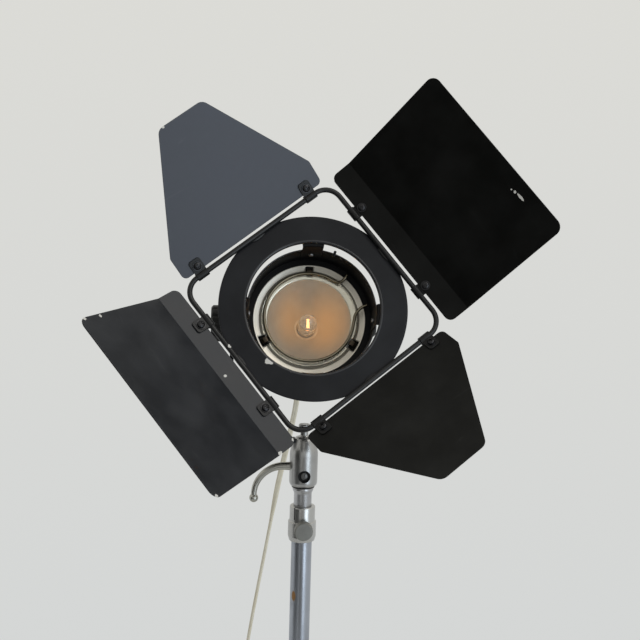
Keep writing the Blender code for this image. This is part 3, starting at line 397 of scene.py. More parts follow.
class Nodes:
    """A node tree and short ways to add nodes to it."""

    def __init__(self, tree):
        self.tree = tree

    def feed(self, socket, value):
        """Links another node's output to the socket, or sets the number or colour on it."""
        if isinstance(value, bpy.types.NodeSocket):
            self.tree.links.new(value, socket)
        else:
            socket.default_value = (*value, 1.0) if socket.type == "RGBA" else value

    def node(self, kind, fed=None, **values):
        made = self.tree.nodes.new(kind)
        for key, value in values.items():
            setattr(made, key, value)
        for key, value in (fed or {}).items():
            self.feed(made.inputs[key], value)
        return made

    def ramp(self, value, *stops):
        made = self.node("ShaderNodeValToRGB", {"Fac": value})
        for element, (position, colour) in zip(made.color_ramp.elements, stops):
            element.position = position
            if not hasattr(colour, "__len__"):
                colour = (colour, colour, colour)
            element.color = (*colour, 1.0)
        return made.outputs["Color"]

    def mix(self, factor, first, second):
        fed = {"Factor": factor, "A": first, "B": second}
        return self.node("ShaderNodeMix", fed, data_type="RGBA").outputs["Result"]

    def math(self, operation, first, second=0.0, third=0.0):
        return self.node("ShaderNodeMath", {0: first, 1: second, 2: third}, operation=operation).outputs[0]

    def times(self, first, second):
        return self.math("MULTIPLY", first, second)

    def blend(self, pattern, low, high, first, second):
        """The first colour where the pattern is low, the second where it is high."""
        return self.mix(self.ramp(pattern, (low, 0.0), (high, 1.0)), first, second)

    def vector(self, operation, first, second=(0, 0, 0)):
        return self.node("ShaderNodeVectorMath", {0: first, 1: second}, operation=operation).outputs

    def fade(self, value, full, gone):
        """1 up to the first value, falling to 0 at the second."""
        fed = {"Value": value, "From Min": full, "From Max": gone, "To Min": 1.0, "To Max": 0.0}
        return self.node("ShaderNodeMapRange", fed, interpolation_type="SMOOTHSTEP").outputs["Result"]


class Paint(Nodes):
    """A principled material, with patterns in the object's own metres."""

    SOCKETS = {
        "colour": "Base Color",
        "metallic": "Metallic",
        "rough": "Roughness",
        "specular": "Specular IOR Level",
        "normal": "Normal",
        "through": "Transmission Weight",
        "ior": "IOR",
        "glow": "Emission Color",
        "glow_strength": "Emission Strength",
        "alpha": "Alpha",
    }

    def __init__(self, name):
        self.mat = bpy.data.materials.new(name)
        self.mat.use_nodes = True
        super().__init__(self.mat.node_tree)
        self.coords = self.node("ShaderNodeTexCoord").outputs["Object"]

    def noise(self, scale, detail=4.0, stretch=None, distortion=0.0):
        place = self.coords
        if stretch:
            place = self.node("ShaderNodeMapping", {"Scale": stretch, "Vector": place}).outputs["Vector"]
        fed = {"Scale": scale, "Detail": detail, "Roughness": 0.55, "Distortion": distortion, "Vector": place}
        return self.node("ShaderNodeTexNoise", fed).outputs["Fac"]

    def near(self, point, radius, soft=0.5, scale=(1, 1, 1)):
        """1 inside the radius round the point, falling to 0 outside it."""
        offset = self.vector("SUBTRACT", self.coords, point)[0]
        distance = self.vector("LENGTH", self.vector("MULTIPLY", offset, scale)[0])["Value"]
        return self.fade(distance, radius * (1 - soft), radius)

    def bump(self, height, strength, distance=0.0002, under=None):
        fed = {"Strength": strength, "Distance": distance, "Height": height}
        if under is not None:
            fed["Normal"] = under
        return self.node("ShaderNodeBump", fed).outputs["Normal"]

    def set(self, **values):
        for key, value in values.items():
            self.feed(self.tree.nodes["Principled BSDF"].inputs[self.SOCKETS[key]], value)
        return self.mat


def enamel(name, colour, rough, specular, chips_and_glints=(), dust=0.35, speckle=0.0):
    """Satin black stove enamel: fine orange peel, dust, rubbed patches and pale chips at given points; on the
    rod such a chip is a painted glint.
    """
    p = Paint(name)
    cloud = p.noise(22, 5)
    fine = p.noise(900, 2)
    dusty = [min(1.0, c + 0.028 * dust + c * 0.35) for c in colour]
    base = p.blend(cloud, 0.4, 0.72, colour, dusty)
    scuffs = p.noise(160, 6, stretch=(1.0, 0.18, 1.0), distortion=0.6)
    base = p.mix(p.ramp(scuffs, (0.66, 0.0), (0.74, 0.5 * dust)), base, [min(1.0, c + 0.05) for c in colour])
    roughness = p.ramp(cloud, (0.25, rough - 0.05), (0.75, rough + 0.09))
    if speckle:
        dots = p.node("ShaderNodeTexVoronoi", {"Scale": 95, "Vector": p.coords}).outputs
        pick = p.node("ShaderNodeSeparateColor", {0: dots["Color"]}).outputs
        rare = p.math("GREATER_THAN", pick[0], 1.0 - speckle)
        small = p.math("LESS_THAN", dots["Distance"], p.times(pick[1], 0.085))
        base = p.mix(p.times(rare, small), base, (0.55, 0.56, 0.57))
    peel = p.bump(fine, 0.1, 0.00012)
    normal = p.bump(cloud, 0.12, 0.0006, under=peel)
    if chips_and_glints:
        ragged = p.noise(420, 5, distortion=1.2)
        total = None
        for point, radius, stretch in chips_and_glints:
            spot = p.near(point, radius, 0.75, stretch)
            part = p.math("GREATER_THAN", p.math("ADD", spot, p.times(ragged, 1.1)), 1.28)
            part = p.times(part, p.math("GREATER_THAN", spot, 0.02))
            total = part if total is None else p.math("MAXIMUM", total, part)
        base = p.mix(total, base, (0.62, 0.6, 0.56))
        roughness = p.mix(total, roughness, (0.5, 0.5, 0.5))
        normal = p.bump(total, -0.5, under=normal)
    return p.set(colour=base, rough=roughness, specular=specular, normal=normal)


def plated(name, colour, rough, streak=(1, 1, 0.06), stains=(), grime=0.5, speck=0.5):
    """Old chrome plate: drawn-out wear, cloudy tarnish, pin-prick rust and a few stains."""
    p = Paint(name)
    along = p.noise(260, 4, stretch=streak)
    cloud = p.noise(38, 6, distortion=0.4)
    pits = p.noise(620, 3)
    dull = [c * 0.62 for c in colour]
    base = p.mix(p.ramp(cloud, (0.38, 0.0), (0.8, grime)), colour, dull)
    rust = p.ramp(pits, (0.655, 0.0), (0.7, speck))
    rust = p.times(rust, p.ramp(cloud, (0.45, 0.0), (0.6, 1.0)))
    base = p.mix(rust, base, (0.12, 0.085, 0.055))
    roughness = p.math("ADD", p.times(along, 0.16), rough - 0.06)
    roughness = p.math("ADD", roughness, p.times(p.ramp(cloud, (0.4, 0.0), (0.8, 1.0)), 0.1))
    for point, radius, stretch, tint, amount in stains:
        spot = p.near(point, radius, 0.9, stretch)
        uneven = p.math("ADD", spot, p.times(cloud, 0.5))
        mask = p.times(p.ramp(uneven, (0.62, 0.0), (0.95, 1.0)), amount)
        base = p.mix(mask, base, tint)
        roughness = p.math("ADD", roughness, p.times(mask, 0.3))
    normal = p.bump(along, 0.05, 0.0001)
    normal = p.bump(cloud, 0.1, 0.0004, under=normal)
    return p.set(colour=base, metallic=1.0, rough=roughness, normal=normal)


def moulded(name, colour, rough, specular, grain=0.2):
    """Moulded plastic, rubber or ceramic: cloudy tone and a fine grain."""
    p = Paint(name)
    cloud = p.noise(60, 4)
    paler = [min(1.0, c * 1.25 + 0.006) for c in colour]
    base = p.blend(cloud, 0.35, 0.75, colour, paler)
    rough = p.ramp(cloud, (0.3, rough - 0.06), (0.7, rough + 0.08))
    normal = p.bump(p.noise(1400, 2), grain, 0.00015)
    return p.set(colour=base, rough=rough, specular=specular, normal=normal)


def reflector_metal():
    """Satin aluminium: pale flange, bright glass seat, and the bulb's warm glow painted into two lobes of the
    bowl's colour and emission.
    """
    p = Paint("reflector_metal")
    cloud = p.noise(70, 4)
    flat = (1.0, 1.0, 0.0)
    rim = p.blend(cloud, 0.35, 0.75, (0.6, 0.56, 0.485), (0.7, 0.665, 0.585))
    # Painted shade: the rim's colour turns a darker brown towards the top.
    up = p.node("ShaderNodeSeparateXYZ", {0: p.coords}).outputs["Y"]
    painted_top_shade = p.ramp(p.math("MULTIPLY_ADD", up, 10.0, 0.3), (0.45, 0.0), (0.85, 0.6))
    rim = p.mix(painted_top_shade, rim, (0.27, 0.25, 0.21))
    mouth = p.near((0, 0, 0), MOUTH_RADIUS, 0.02, flat)
    seat = p.math("SUBTRACT", p.near((0, 0, 0), 0.0506, 0.02, flat), mouth)
    rim = p.mix(seat, rim, (0.76, 0.71, 0.6))
    bowl = p.blend(cloud, 0.3, 0.7, (0.585, 0.56, 0.49), (0.68, 0.655, 0.58))
    deep = p.near((0, 0, 0), 0.0436, 0.04, flat)
    # Painted light: two warm lobes where the bulb's glow would fall tint the bowl and make it glow.
    glow_left = p.near((-0.017, 0.006, -0.085), 0.034, 1.0, (1.2, 0.8, 0.45))
    glow_right = p.near((0.02, 0.001, -0.085), 0.038, 1.0, (1.0, 0.8, 0.45))
    glow = p.math("MINIMUM", p.math("ADD", p.times(glow_left, 0.75), glow_right), 1.0)
    bowl = p.mix(p.times(glow, 0.8), bowl, (0.74, 0.46, 0.195))
    base = p.mix(deep, rim, bowl)
    turned = p.noise(300, 2, stretch=(1, 1, 3))
    rough = p.mix(seat, p.ramp(cloud, (0.3, 0.34), (0.7, 0.46)), (0.2, 0.2, 0.2))
    return p.set(
        colour=base,
        metallic=p.ramp(deep, (0.0, 0.6), (1.0, 0.45)),
        rough=rough,
        normal=p.bump(turned, 0.08, 0.0002),
        glow=p.mix(p.times(deep, glow), (0, 0, 0), (0.95, 0.47, 0.15)),
        glow_strength=0.24,
    )


def glass(name, rough, colour=(0.96, 0.97, 0.96), film=0.0, painted_glow=0.0):
    """Clear glass with a thin film of dust."""
    p = Paint(name)
    dust = p.noise(120, 5)
    smear = p.ramp(dust, (0.35, rough * 0.7), (0.75, rough * 1.5))
    # Painted light: a faint warm emission makes the glass glow.
    if painted_glow:
        p.set(glow=(1.0, 0.6, 0.28), glow_strength=painted_glow)
    normal = p.bump(dust, 0.03)
    return p.set(colour=colour, through=1.0 - film, rough=smear, ior=1.45, specular=0.5, normal=normal)


def filament_metal():
    """Tungsten wire at a low glow, uneven along the coil."""
    p = Paint("filament")
    coil = p.noise(900, 2)
    glow = p.mix(coil, (1.0, 0.44, 0.11), (1.0, 0.68, 0.3))
    return p.set(colour=(0.9, 0.5, 0.2), glow=glow, glow_strength=2.6, rough=0.5)


def cream_flex():
    """Aged cream PVC flex: yellowed patches, grey handling marks and a soft gloss."""
    p = Paint("cream_cord")
    cloud = p.noise(26, 4)
    marks = p.noise(210, 5, stretch=(1, 1, 0.4))
    base = p.blend(cloud, 0.35, 0.7, (0.7, 0.64, 0.5), (0.8, 0.76, 0.64))
    base = p.mix(p.ramp(marks, (0.6, 0.0), (0.78, 0.5)), base, (0.36, 0.32, 0.25))
    rough = p.ramp(cloud, (0.3, 0.42), (0.7, 0.55))
    return p.set(colour=base, rough=rough, specular=0.45, normal=p.bump(marks, 0.12, 0.0003))


def make_materials():
    even = (1, 1, 1)
    ring_chips = (
        ((-0.0424, -0.054, 0.0), 0.0085, (1.0, 1.3, 0.6)),
        ((-0.0211, -0.0626, 0.0), 0.0036, even),
    )
    # A pale spot on the rod, drawn like a chip, is a painted glint.
    rod_glint = (((-0.0883, 0.0177, 0.0045), 0.004, even),)
    high = (3.4, 1.0, 3.4)
    stuff = {
        # The ring enamel's bluish tint is painted sheen on the black paint.
        "ring": enamel("ring_enamel", (0.0059, 0.0065, 0.0084), 0.4, 0.2, ring_chips, dust=0.15),
        # The housing enamel is darker than the ring's as painted shade for the inside of the housing.
        "housing": enamel("housing_enamel", (0.0022, 0.0023, 0.0026), 0.4, 0.17, dust=0.05),
        # The lips' tone is lighter and bluer than the ring's and the housing's enamel: a painted highlight on
        # the rolled edges.
        "lip_highlight": enamel("lip_highlight_enamel", (0.007, 0.008, 0.0105), 0.26, 0.55, dust=0.1),
        "rod": enamel("rod_enamel", (0.005, 0.005, 0.0052), 0.36, 0.34, rod_glint, dust=0.15),
        "clip": enamel("clip_enamel", (0.0045, 0.0045, 0.0046), 0.4, 0.26, dust=0.12),
        "screw": plated("dark_screw", (0.04, 0.04, 0.042), 0.34, speck=0.2),
        "chrome": plated("tube_chrome", (0.52, 0.53, 0.55), 0.24),
        "lever": plated("lever_chrome", (0.43, 0.425, 0.39), 0.3, (0.2, 0.2, 0.2), grime=0.4, speck=0.15),
        "collar": plated("collar_chrome", (0.52, 0.52, 0.51), 0.27, (1, 1, 0.35), grime=0.5, speck=0.4),
        "cast": plated("cast_chrome", (0.44, 0.44, 0.435), 0.29, (1, 1, 0.35), grime=0.7, speck=0.7),
        "grey": plated("grey_screw", (0.36, 0.36, 0.36), 0.34, (1, 1, 1)),
        "disc": plated("disc_metal", (0.27, 0.27, 0.255), 0.55, (1, 1, 1), grime=0.6, speck=0.3),
        "hook": plated("hook_steel", (0.06, 0.048, 0.036), 0.36, (1, 1, 1), speck=0.6),
        "dull": plated("dull_screw", (0.15, 0.15, 0.148), 0.42, (1, 1, 1)),
        "wire": plated("spring_steel", (0.2, 0.175, 0.125), 0.26, (1, 1, 1), speck=0.3),
        "black": moulded("black_plastic", (0.007, 0.007, 0.007), 0.5, 0.26),
        "rubber": moulded("black_rubber", (0.016, 0.016, 0.0155), 0.78, 0.25, 0.5),
        "ceramic": moulded("ceramic", (0.66, 0.62, 0.55), 0.62, 0.35, 0.35),
        "reflector": reflector_metal(),
        "pane": glass("front_glass", 0.02),
        # The bulb's glass gets a faint painted warm glow.
        "quartz": glass("bulb_glass", 0.02, (1.0, 0.97, 0.92), 0.16, 0.03),
        "filament": filament_metal(),
        "flex": cream_flex(),
    }
    # Each leaf's tone stands for the light on it. small_leaf_a's lighter blue is painted sheen,
    # large_leaf_b's blue-grey is a weaker painted sheen, and large_leaf_a is darkened as painted shade. The
    # larger dust amounts on the two lighter leaves are partly dust and partly painted sheen.
    lit_and_shaded_tones = (
        (0.0037, 0.0037, 0.0032),
        (0.0165, 0.0205, 0.0325),
        (0.008, 0.0092, 0.0118),
        (0.0074, 0.0074, 0.0066),
    )
    gloss = (0.09, 0.55, 0.36, 0.12)
    dust = (0.1, 0.45, 0.45, 0.18)
    speckle = (0.01, 0.006, 0.045, 0.006)
    chips_and_glints = (
        (
            ((0.1251, -0.0462, 0.0578), 0.0082, high),
            ((0.1243, -0.0391, 0.0573), 0.0027, even),
            ((0.1234, -0.0352, 0.0569), 0.0015, even),
            ((0.0052, 0.09, 0.0), 0.003, even),
        ),
        (((0.1355, 0.02, 0.0), 0.003, even),),
        (
            ((0.022, 0.0037, 0.0006), 0.0028, even),
            ((0.0262, 0.0926, 0.0006), 0.0046, even),
            ((0.006, 0.089, 0.0), 0.0034, even),
            ((0.13, -0.092, 0.06), 0.004, even),
            ((0.1113, -0.0908, 0.0496), 0.0034, even),
            ((0.1322, 0.0912, 0.062), 0.0036, even),
        ),
        (),
    )
    for k, name in enumerate(LEAF_NAMES):
        stuff[name] = enamel(f"{name}_enamel", lit_and_shaded_tones[k], 0.44, gloss[k], chips_and_glints[k], dust[k], speckle[k])
    return stuff


# Lamp head


def build_housing():
    inside = HOUSING_RADIUS - HOUSING_WALL
    curl = HOUSING_WALL / 2
    middle = (inside + curl, HOUSING_FRONT - curl)
    profile = arc(middle, curl, 180, 0, 8)
    swage = ((0, 0), (0.0009, 0.0012), (0.0009, 0.003), (0, 0.0042))
    for start in (-0.03, -0.133):
        profile += [(HOUSING_RADIUS + out, start - behind) for out, behind in swage]
    profile += [(HOUSING_RADIUS, HOUSING_REAR), (inside, HOUSING_REAR), (inside, RIM_Z - 0.005)]
    profile += [(RIM_RADIUS + GAP, RIM_Z - 0.005), (RIM_RADIUS + GAP, RIM_Z - 0.002), (inside, RIM_Z - 0.002)]
    bm = revolve(profile, loop=True)
    profile = [(0, -0.0642), (0.015, -0.0642), (0.0135, -0.0662), (0.013, -0.068), (0.013, -0.0752)]
    boss = revolve(profile + [(0.012, -0.0762), (0, -0.0762)], FINE, axis="x")
    join(bm, boss, shift(0, 0, -PIVOT_BACK))
    dome = [(0, 0), (0.0026, 0), (0.0022, 0.0008), (0.0012, 0.0013), (0, 0.0014)]
    for k in range(8):
        for z in (-0.042, -0.127):
            place = spin(22.5 + 45 * k) @ shift(HOUSING_RADIUS - 0.0002, 0, z)
            join(bm, revolve(dome, 16, axis="x"), place)
    piece("housing_tube", bm, "housing", LAMP, "lamp", "housing_shell")
    bead = arc(middle, curl + 0.0001, 200, -20, 12) + arc(middle, curl - 0.0003, -20, 200, 8)
    piece("housing_lip", revolve(bead, loop=True), "lip_highlight", LAMP, "lamp")

    flange = HOUSING_REAR - GAP
    back = flange - 0.0015 - 0.01
    skirt = inside - GAP
    bore = 0.0048
    profile = [(skirt, HOUSING_REAR + 0.004), (skirt, flange), (HOUSING_RADIUS, flange)]
    profile += [(HOUSING_RADIUS, flange - 0.0015, 0.001), (0.045, back, 0.006), (bore, back)]
    profile += [(bore, back + 0.0015), (0.0443, back + 0.0015, 0.005)]
    profile += [(skirt - 0.0015, flange, 0.001), (skirt - 0.0015, -0.146)]
    cover = piece("rear_cap", revolve(profile, loop=True), "housing", LAMP, "lamp", "rear_cover")
    slots = bmesh.new()
    for k in range(8):
        slot = prism(rounded(box_outline(0.02, 0.038, -0.0025, 0.0025), 0.0024), back - 0.003, back + 0.005)
        join(slots, slot, spin(45 * (k + 0.5)))
    cut(cover, LAMP, slots)
    for k in range(3):
        turn = spin(30 + 120 * k)
        lift = LAMP @ turn @ shift(0.0565, 0, back + 0.0058) @ spin(180 - 32, "Y")
        piece(f"cover_screw_{k + 1}", slotted_head(0.0032, 0.0018), "screw", lift, "lamp")

    profile = [(0, back + 0.004), (0.0045, back + 0.004), (0.0045, back - GAP), (0.0095, back - GAP, 0.0004)]
    profile += [(0.0095, back - 0.0034, 0.0008), (0.0064, back - 0.0046)]
    for k in range(5):
        z = back - 0.0052 - 0.0034 * k
        r = 0.006 - 0.00036 * k
        profile += [(r, z), (r, z - 0.0018), (r - 0.001, z - 0.0022), (r - 0.001, z - 0.003)]
    tip = back - 0.0226
    profile += [(0.0043, tip + 0.0006), (0.004, tip), (0, tip)]
    piece("strain_relief", revolve(profile, 48), "rubber", LAMP, "lamp", "cord_gland")


def screw_head(radius, height, under, rise, steps, blade, blades):
    """Pan head along +Z on the given underside, with bar-shaped cuts, as one closed mesh."""
    dome = [math.pi / 2 * k / steps for k in range(steps)]
    profile = under + [(radius * math.cos(a), height * (rise + (1 - rise) * math.sin(a))) for a in dome]
    head = place_mesh("head", revolve(profile + [(0, height)], 40), STUFF["screw"], Matrix.Identity(4))
    length, width, low, high = blade
    outline = box_outline(-radius * length, radius * length, -radius * width, radius * width)
    bars = [prism(outline, height * low, height * high) for _ in range(blades)]
    for k, bar in enumerate(bars):
        bar.transform(spin(90 * k))
    cut(head, Matrix.Identity(4), *bars)
    made = bmesh.new()
    made.from_mesh(head.data)
    bpy.data.objects.remove(head)
    return made


def slotted_head(radius, height):
    under = [(0, -0.001), (radius * 0.5, -0.001), (radius * 0.5, 0), (radius, 0)]
    return screw_head(radius, height, under, 0.35, 7, (1.2, 0.13, 0.5, 1.6), 1)


def cross_head(radius, height):
    under = [(0, -0.0004), (radius * 0.8, -0.0004), (radius, 0)]
    return screw_head(radius, height, under, 0.3, 8, (0.52, 0.12, 0.45, 1.5), 2)


def build_optics():
    """Reflector with three pressed windows and hooks, the glass and its spring."""
    growth = (MOUTH_RADIUS ** 2 - BASE_RADIUS ** 2) / (MOUTH_Z - BASE_Z)
    profile = [(0.0103, BASE_Z - 0.003), (0.0103, BASE_Z - 0.0008), (0.0109, BASE_Z)]
    for k in range(25):
        along = BASE_Z + (MOUTH_Z - BASE_Z) * (k / 24) ** 1.5
        profile.append((math.sqrt(BASE_RADIUS ** 2 + growth * (along - BASE_Z)), along))
    profile += [(0.0435, -0.0579), (0.0439, -0.0575), (0.0445, -0.0573), (0.047, -0.0571), (0.0487, -0.0569)]
    profile += [(0.0492, -0.0564), (0.0494, -0.0552), (0.0496, -0.0545), (0.05, -0.0542), (0.0504, -0.0545)]
    profile += [(0.0506, -0.0551), (0.051, -0.0557), (0.0518, -0.056), (0.0534, -0.0555), (0.055, -0.0549)]
    profile += [(0.0562, -0.0544), (0.0568, -0.0541), (0.0571, -0.054), (0.0573, -0.0543)]
    segments = 180
    turns = [2 * math.pi * k / segments for k in range(segments)]
    bm = bmesh.new()
    rings = [[bm.verts.new(turned_point(r, turn, z, "z")) for turn in turns] for r, z in profile]
    for i, (first, second) in enumerate(zip(rings, rings[1:])):
        middle = (profile[i][0] + profile[i + 1][0]) / 2
        for k in range(segments):
            turn = (k + 0.5) * 2
            open_here = any(abs((turn - window + 180) % 360 - 180) < half for window, half in WINDOWS)
            if open_here and 0.0475 < middle < 0.0562:
                continue
            n = (k + 1) % segments
            bm.faces.new([first[k], first[n], second[n], second[k]])
    reflector = piece("reflector_bowl", bm, "reflector", LAMP, "lamp", "reflector")
    thick = reflector.modifiers.new("wall", "SOLIDIFY")
    thick.thickness = 0.0007
    thick.offset = -1.0

    for k, (window, _) in enumerate(WINDOWS):
        turn = LAMP @ spin(window)
        path = [(0.0548, -0.0572), (0.054, -0.0528), (0.0524, -0.051)]
        path += [(0.05, -0.0505), (0.048, -0.0509), (0.0468, -0.0516)]
        outline = [(x, z + 0.0004) for x, z in path] + [(x, z - 0.0004) for x, z in reversed(path)]
        hook = prism(outline, -0.0026, 0.0026, "xz")
        piece(f"glass_hook_{k + 1}", hook, "hook", turn, "lamp", bevel=0.0002)
        # Behind each window a dark sheet in the housing's enamel stands in for the shade inside the housing:
        # painted shade.
        seat = prism(rounded(box_outline(0.0465, 0.057, -0.0072, 0.0072), 0.0008), -0.0592, -0.0585)
        piece(f"window_shade_sheet_{k + 1}", seat, "housing", turn, "lamp")

    edge = 0.0004
    front = GLASS_BACK + GLASS_THICK
    profile = [(0, GLASS_BACK), (GLASS_RADIUS - edge, GLASS_BACK), (GLASS_RADIUS, GLASS_BACK + edge)]
    profile += [(GLASS_RADIUS, front - edge), (GLASS_RADIUS - edge, front), (0, front)]
    piece("glass_pane", revolve(profile), "pane", LAMP, "lamp", "front_glass")

    z = front + GAP + SPRING_WIRE
    first = ((13.6, 0.06, 0.005), (13.0, 0.056, 0.0047), (11.0, 0.0518, 0.0036), (6.0, 0.0474, 0.0018))
    last = ((56.5, 0.0478, 0.0004), (52.5, 0.0486, 0.0012), (50.0, 0.0512, 0.003), (49.5, 0.0552, 0.0048))
    points = [spring_point(a, r, z + rise) for a, r, rise in first + ((-1.0, 0.0459, 0.0005),)]
    for k in range(61):
        x, y, _ = spring_point(-(10 + 290 * k / 60), SPRING_RADIUS, z)
        points.append((x - 0.0004, y + 0.0019, z))
    points += [spring_point(a, r, z + rise) for a, r, rise in last + ((50.0, 0.059, 0.0052),)]
    route = smooth_route(points, 0.0012)[0]
    bm = sweep(route, round_section(SPRING_WIRE, 14))
    for end in (route[0], route[-1]):
        join(bm, ball(SPRING_WIRE, 16, 10), Matrix.Translation(end))
    piece("glass_retaining_ring", bm, "wire", LAMP, "lamp", "glass_spring")


def spring_point(angle, radius, z):
    turn = math.radians(angle)
    return (radius * math.cos(turn), radius * math.sin(turn), z)


def build_bulb():
    dome = [(0, -0.062)] + arc((0, -0.0715), 0.0095, 90, 0, 14)[1:]
    outside = dome + [(0.0095, -0.095), (0.009, -0.0975), (0.007, -0.0998), (0.006, -0.1015)]
    inner = [(max(0.0, r - 0.0009), z - 0.0009 if r < 0.009 else z) for r, z in dome]
    inner[0] = (0, -0.0629)
    inner += [(0.0086, -0.095), (0.008, -0.097), (0.005, -0.099), (0, -0.0995)]
    bm = revolve(outside + [(0.006, -0.1177), (0, -0.1177)], 48)
    cavity = revolve(inner, 48)
    bmesh.ops.recalc_face_normals(bm, faces=bm.faces)
    bmesh.ops.recalc_face_normals(cavity, faces=cavity.faces)
    bmesh.ops.reverse_faces(cavity, faces=cavity.faces)
    join(bm, cavity)
    piece("bulb_capsule", bm, "quartz", LAMP, "focus_carriage", "bulb", angle=40, outward=False)

    coil = []
    for k in range(161):
        turn = k / 160
        angle = 2 * math.pi * 11 * turn
        coil.append((0.0014 * math.cos(angle), 0.01 * (turn - 0.5), -0.0735 + 0.0014 * math.sin(angle)))
    piece("filament", sweep(coil, round_section(0.0004, 6)), "filament", LAMP, "focus_carriage")
    posts = bmesh.new()
    for side in (-1, 1):
        start = coil[0] if side < 0 else coil[-1]
        leg = [start, (0, 0.0056 * side, -0.076), (0, 0.0048 * side, -0.086), (0, 0.0032 * side, -0.0985)]
        join(posts, sweep(smooth_route(leg, 0.0009)[0], round_section(0.0003, 8)))
    piece("filament_posts", posts, "grey", LAMP, "focus_carriage")

    profile = [(0, -0.118), (0.0063, -0.118), (0.0063, -0.1105), (0.0068, -0.11)]
    profile += [(0.016, -0.11, 0.0012), (0.016, -0.13, 0.001), (0, -0.13)]
    piece("lamp_socket", revolve(profile, 48), "ceramic", LAMP, "focus_carriage", "lamp_holder")
    half_span = math.sqrt((HOUSING_RADIUS - HOUSING_WALL - GAP) ** 2 - 0.008 ** 2)
    bar = prism(rounded(box_outline(-half_span, half_span, -0.008, 0.008), 0.001), -0.1333, -0.1303)
    piece("socket_bar", bar, "screw", LAMP, "focus_carriage", "lamp_carriage", bevel=0.0004)

    knob_z = -0.13 - GAP - 0.0015
    outer = HOUSING_RADIUS
    profile = [(0, outer - 0.004), (0.003, outer - 0.004), (0.003, outer + 0.001)]
    profile += [(0.0092, outer + 0.001, 0.0006), (0.012, outer + 0.0035, 0.001)]
    profile += [(0.012, outer + 0.013, 0.0012), (0.0102, outer + 0.015, 0.001), (0, outer + 0.015)]
    knob = revolve(profile, 144, axis="x", wobble=fluting(24, 0.0005, 0.011))
    piece("focus_grip", knob, "black", LAMP @ shift(0, 0.012, knob_z), "focus_control", "focus_knob")


def arc_strap(outline, half_angle, steps=16):
    """Sheet bent round the lamp's axis: its outline is given as radius and height."""
    bm = bmesh.new()
    rings = []
    for k in range(steps + 1):
        turn = half_angle * (2 * k / steps - 1)
        rings.append([bm.verts.new(turned_point(r, turn, z, "z")) for r, z in outline])
    for first, second in zip(rings, rings[1:]):
        for j in range(len(outline)):
            n = (j + 1) % len(outline)
            bm.faces.new([first[j], first[n], second[n], second[j]])
    bm.faces.new(rings[0])
    bm.faces.new(rings[-1])
    return bm


def build_brackets():
    """Four pressed angle brackets between the housing and the ring, each with its screw."""
    wall = HOUSING_RADIUS - HOUSING_WALL - GAP
    sheet = 0.0008
    front = -RING_LIP - GAP
    inner = wall - sheet
    low = HOUSING_FRONT - 0.019
    for k, side in enumerate(("right", "top", "left", "bottom")):
        bend = 0.0024 if side in ("right", "top") else 0.011
        centre = (wall + bend - sheet, front - bend)
        outline = [(wall, low)] + arc(centre, bend - sheet, 180, 90, 8)
        outline += [(wall + 0.013, front - sheet), (wall + 0.013, front)]
        outline += arc(centre, bend, 90, 180, 8) + [(inner, low)]
        turn = LAMP @ spin(90 * k - (4.5 if side == "right" else 0))
        strap = arc_strap(outline, 0.0105 / wall)
        piece(f"ring_support_{side}", strap, "housing", turn, "lamp", f"ring_bracket_{side}", bevel=0.0003)
        spot = turn @ shift(inner, 0.0, HOUSING_FRONT - 0.012) @ spin(-90, "Y")
        piece(f"support_screw_{side}", slotted_head(0.0026, 0.0019), "grey", spot, "lamp")
    pin = [(0, 0), (0.0014, 0), (0.0014, 0.006), (0.0011, 0.0064), (0, 0.0064)]
    turn = LAMP @ spin(69.5) @ shift(0.0608, 0, -0.019) @ spin(90, "Y")
    piece("stop_pin", revolve(pin, 24), "clip", turn, "lamp")


def build_ring():
    roll = 0.0018
    middle = (RING_HOLE + roll, -roll)
    neck = RING_HOLE + RING_SHEET
    profile = arc(middle, roll, 180, 90, 6)
    profile += [(RING_HOLE + 0.004, 0.0), (RING_RADIUS - 0.003, 0.0)]
    profile += arc((RING_RADIUS - 0.0007, -0.0007), 0.0007, 90, 0, 5)
    profile += [(RING_RADIUS, -RING_SHEET), (neck, -RING_SHEET), (neck, -RING_LIP)]
    profile += [(RING_HOLE + 0.0002, -RING_LIP), (RING_HOLE, -RING_LIP + 0.0003)]
    piece("barndoor_plate", revolve(profile, 192, loop=True), "ring", LAMP, "barndoor", "barndoor_ring")
    bead = arc(middle, roll + 0.00008, 185, 60, 14) + arc(middle, roll - 0.0004, 60, 185, 8)
    piece("barndoor_lip", revolve(bead, 192, loop=True), "lip_highlight", LAMP, "barndoor")

    points = []
    straight = ROD_HALF_SIDE - ROD_CORNER
    for k in range(4):
        corner = Matrix.Rotation(k * math.pi / 2, 2) @ Vector((straight, straight))
        points += [(x, y, ROD_HEIGHT) for x, y in arc(corner, ROD_CORNER, 90 * k, 90 * k + 90, 16)]
    rod = sweep(points, round_section(ROD_RADIUS, 24), closed=True, ups=[(0, 0, 1)] * len(points))
    piece("hinge_rod", rod, "rod", BARNDOOR, "barndoor", "rod_frame")
    for k in range(4):
        turn = BARNDOOR @ spin(90 * k)
        oval = shift(ROD_HALF_SIDE - 0.0018, 0, 0.0006) @ Matrix.Diagonal((0.0026, 0.0085, 0.0014, 1))
        bead = ball(1.0, 24, 12)
        bead.transform(oval)
        piece(f"rod_weld_{k + 1}", bead, "rod", turn, "barndoor")


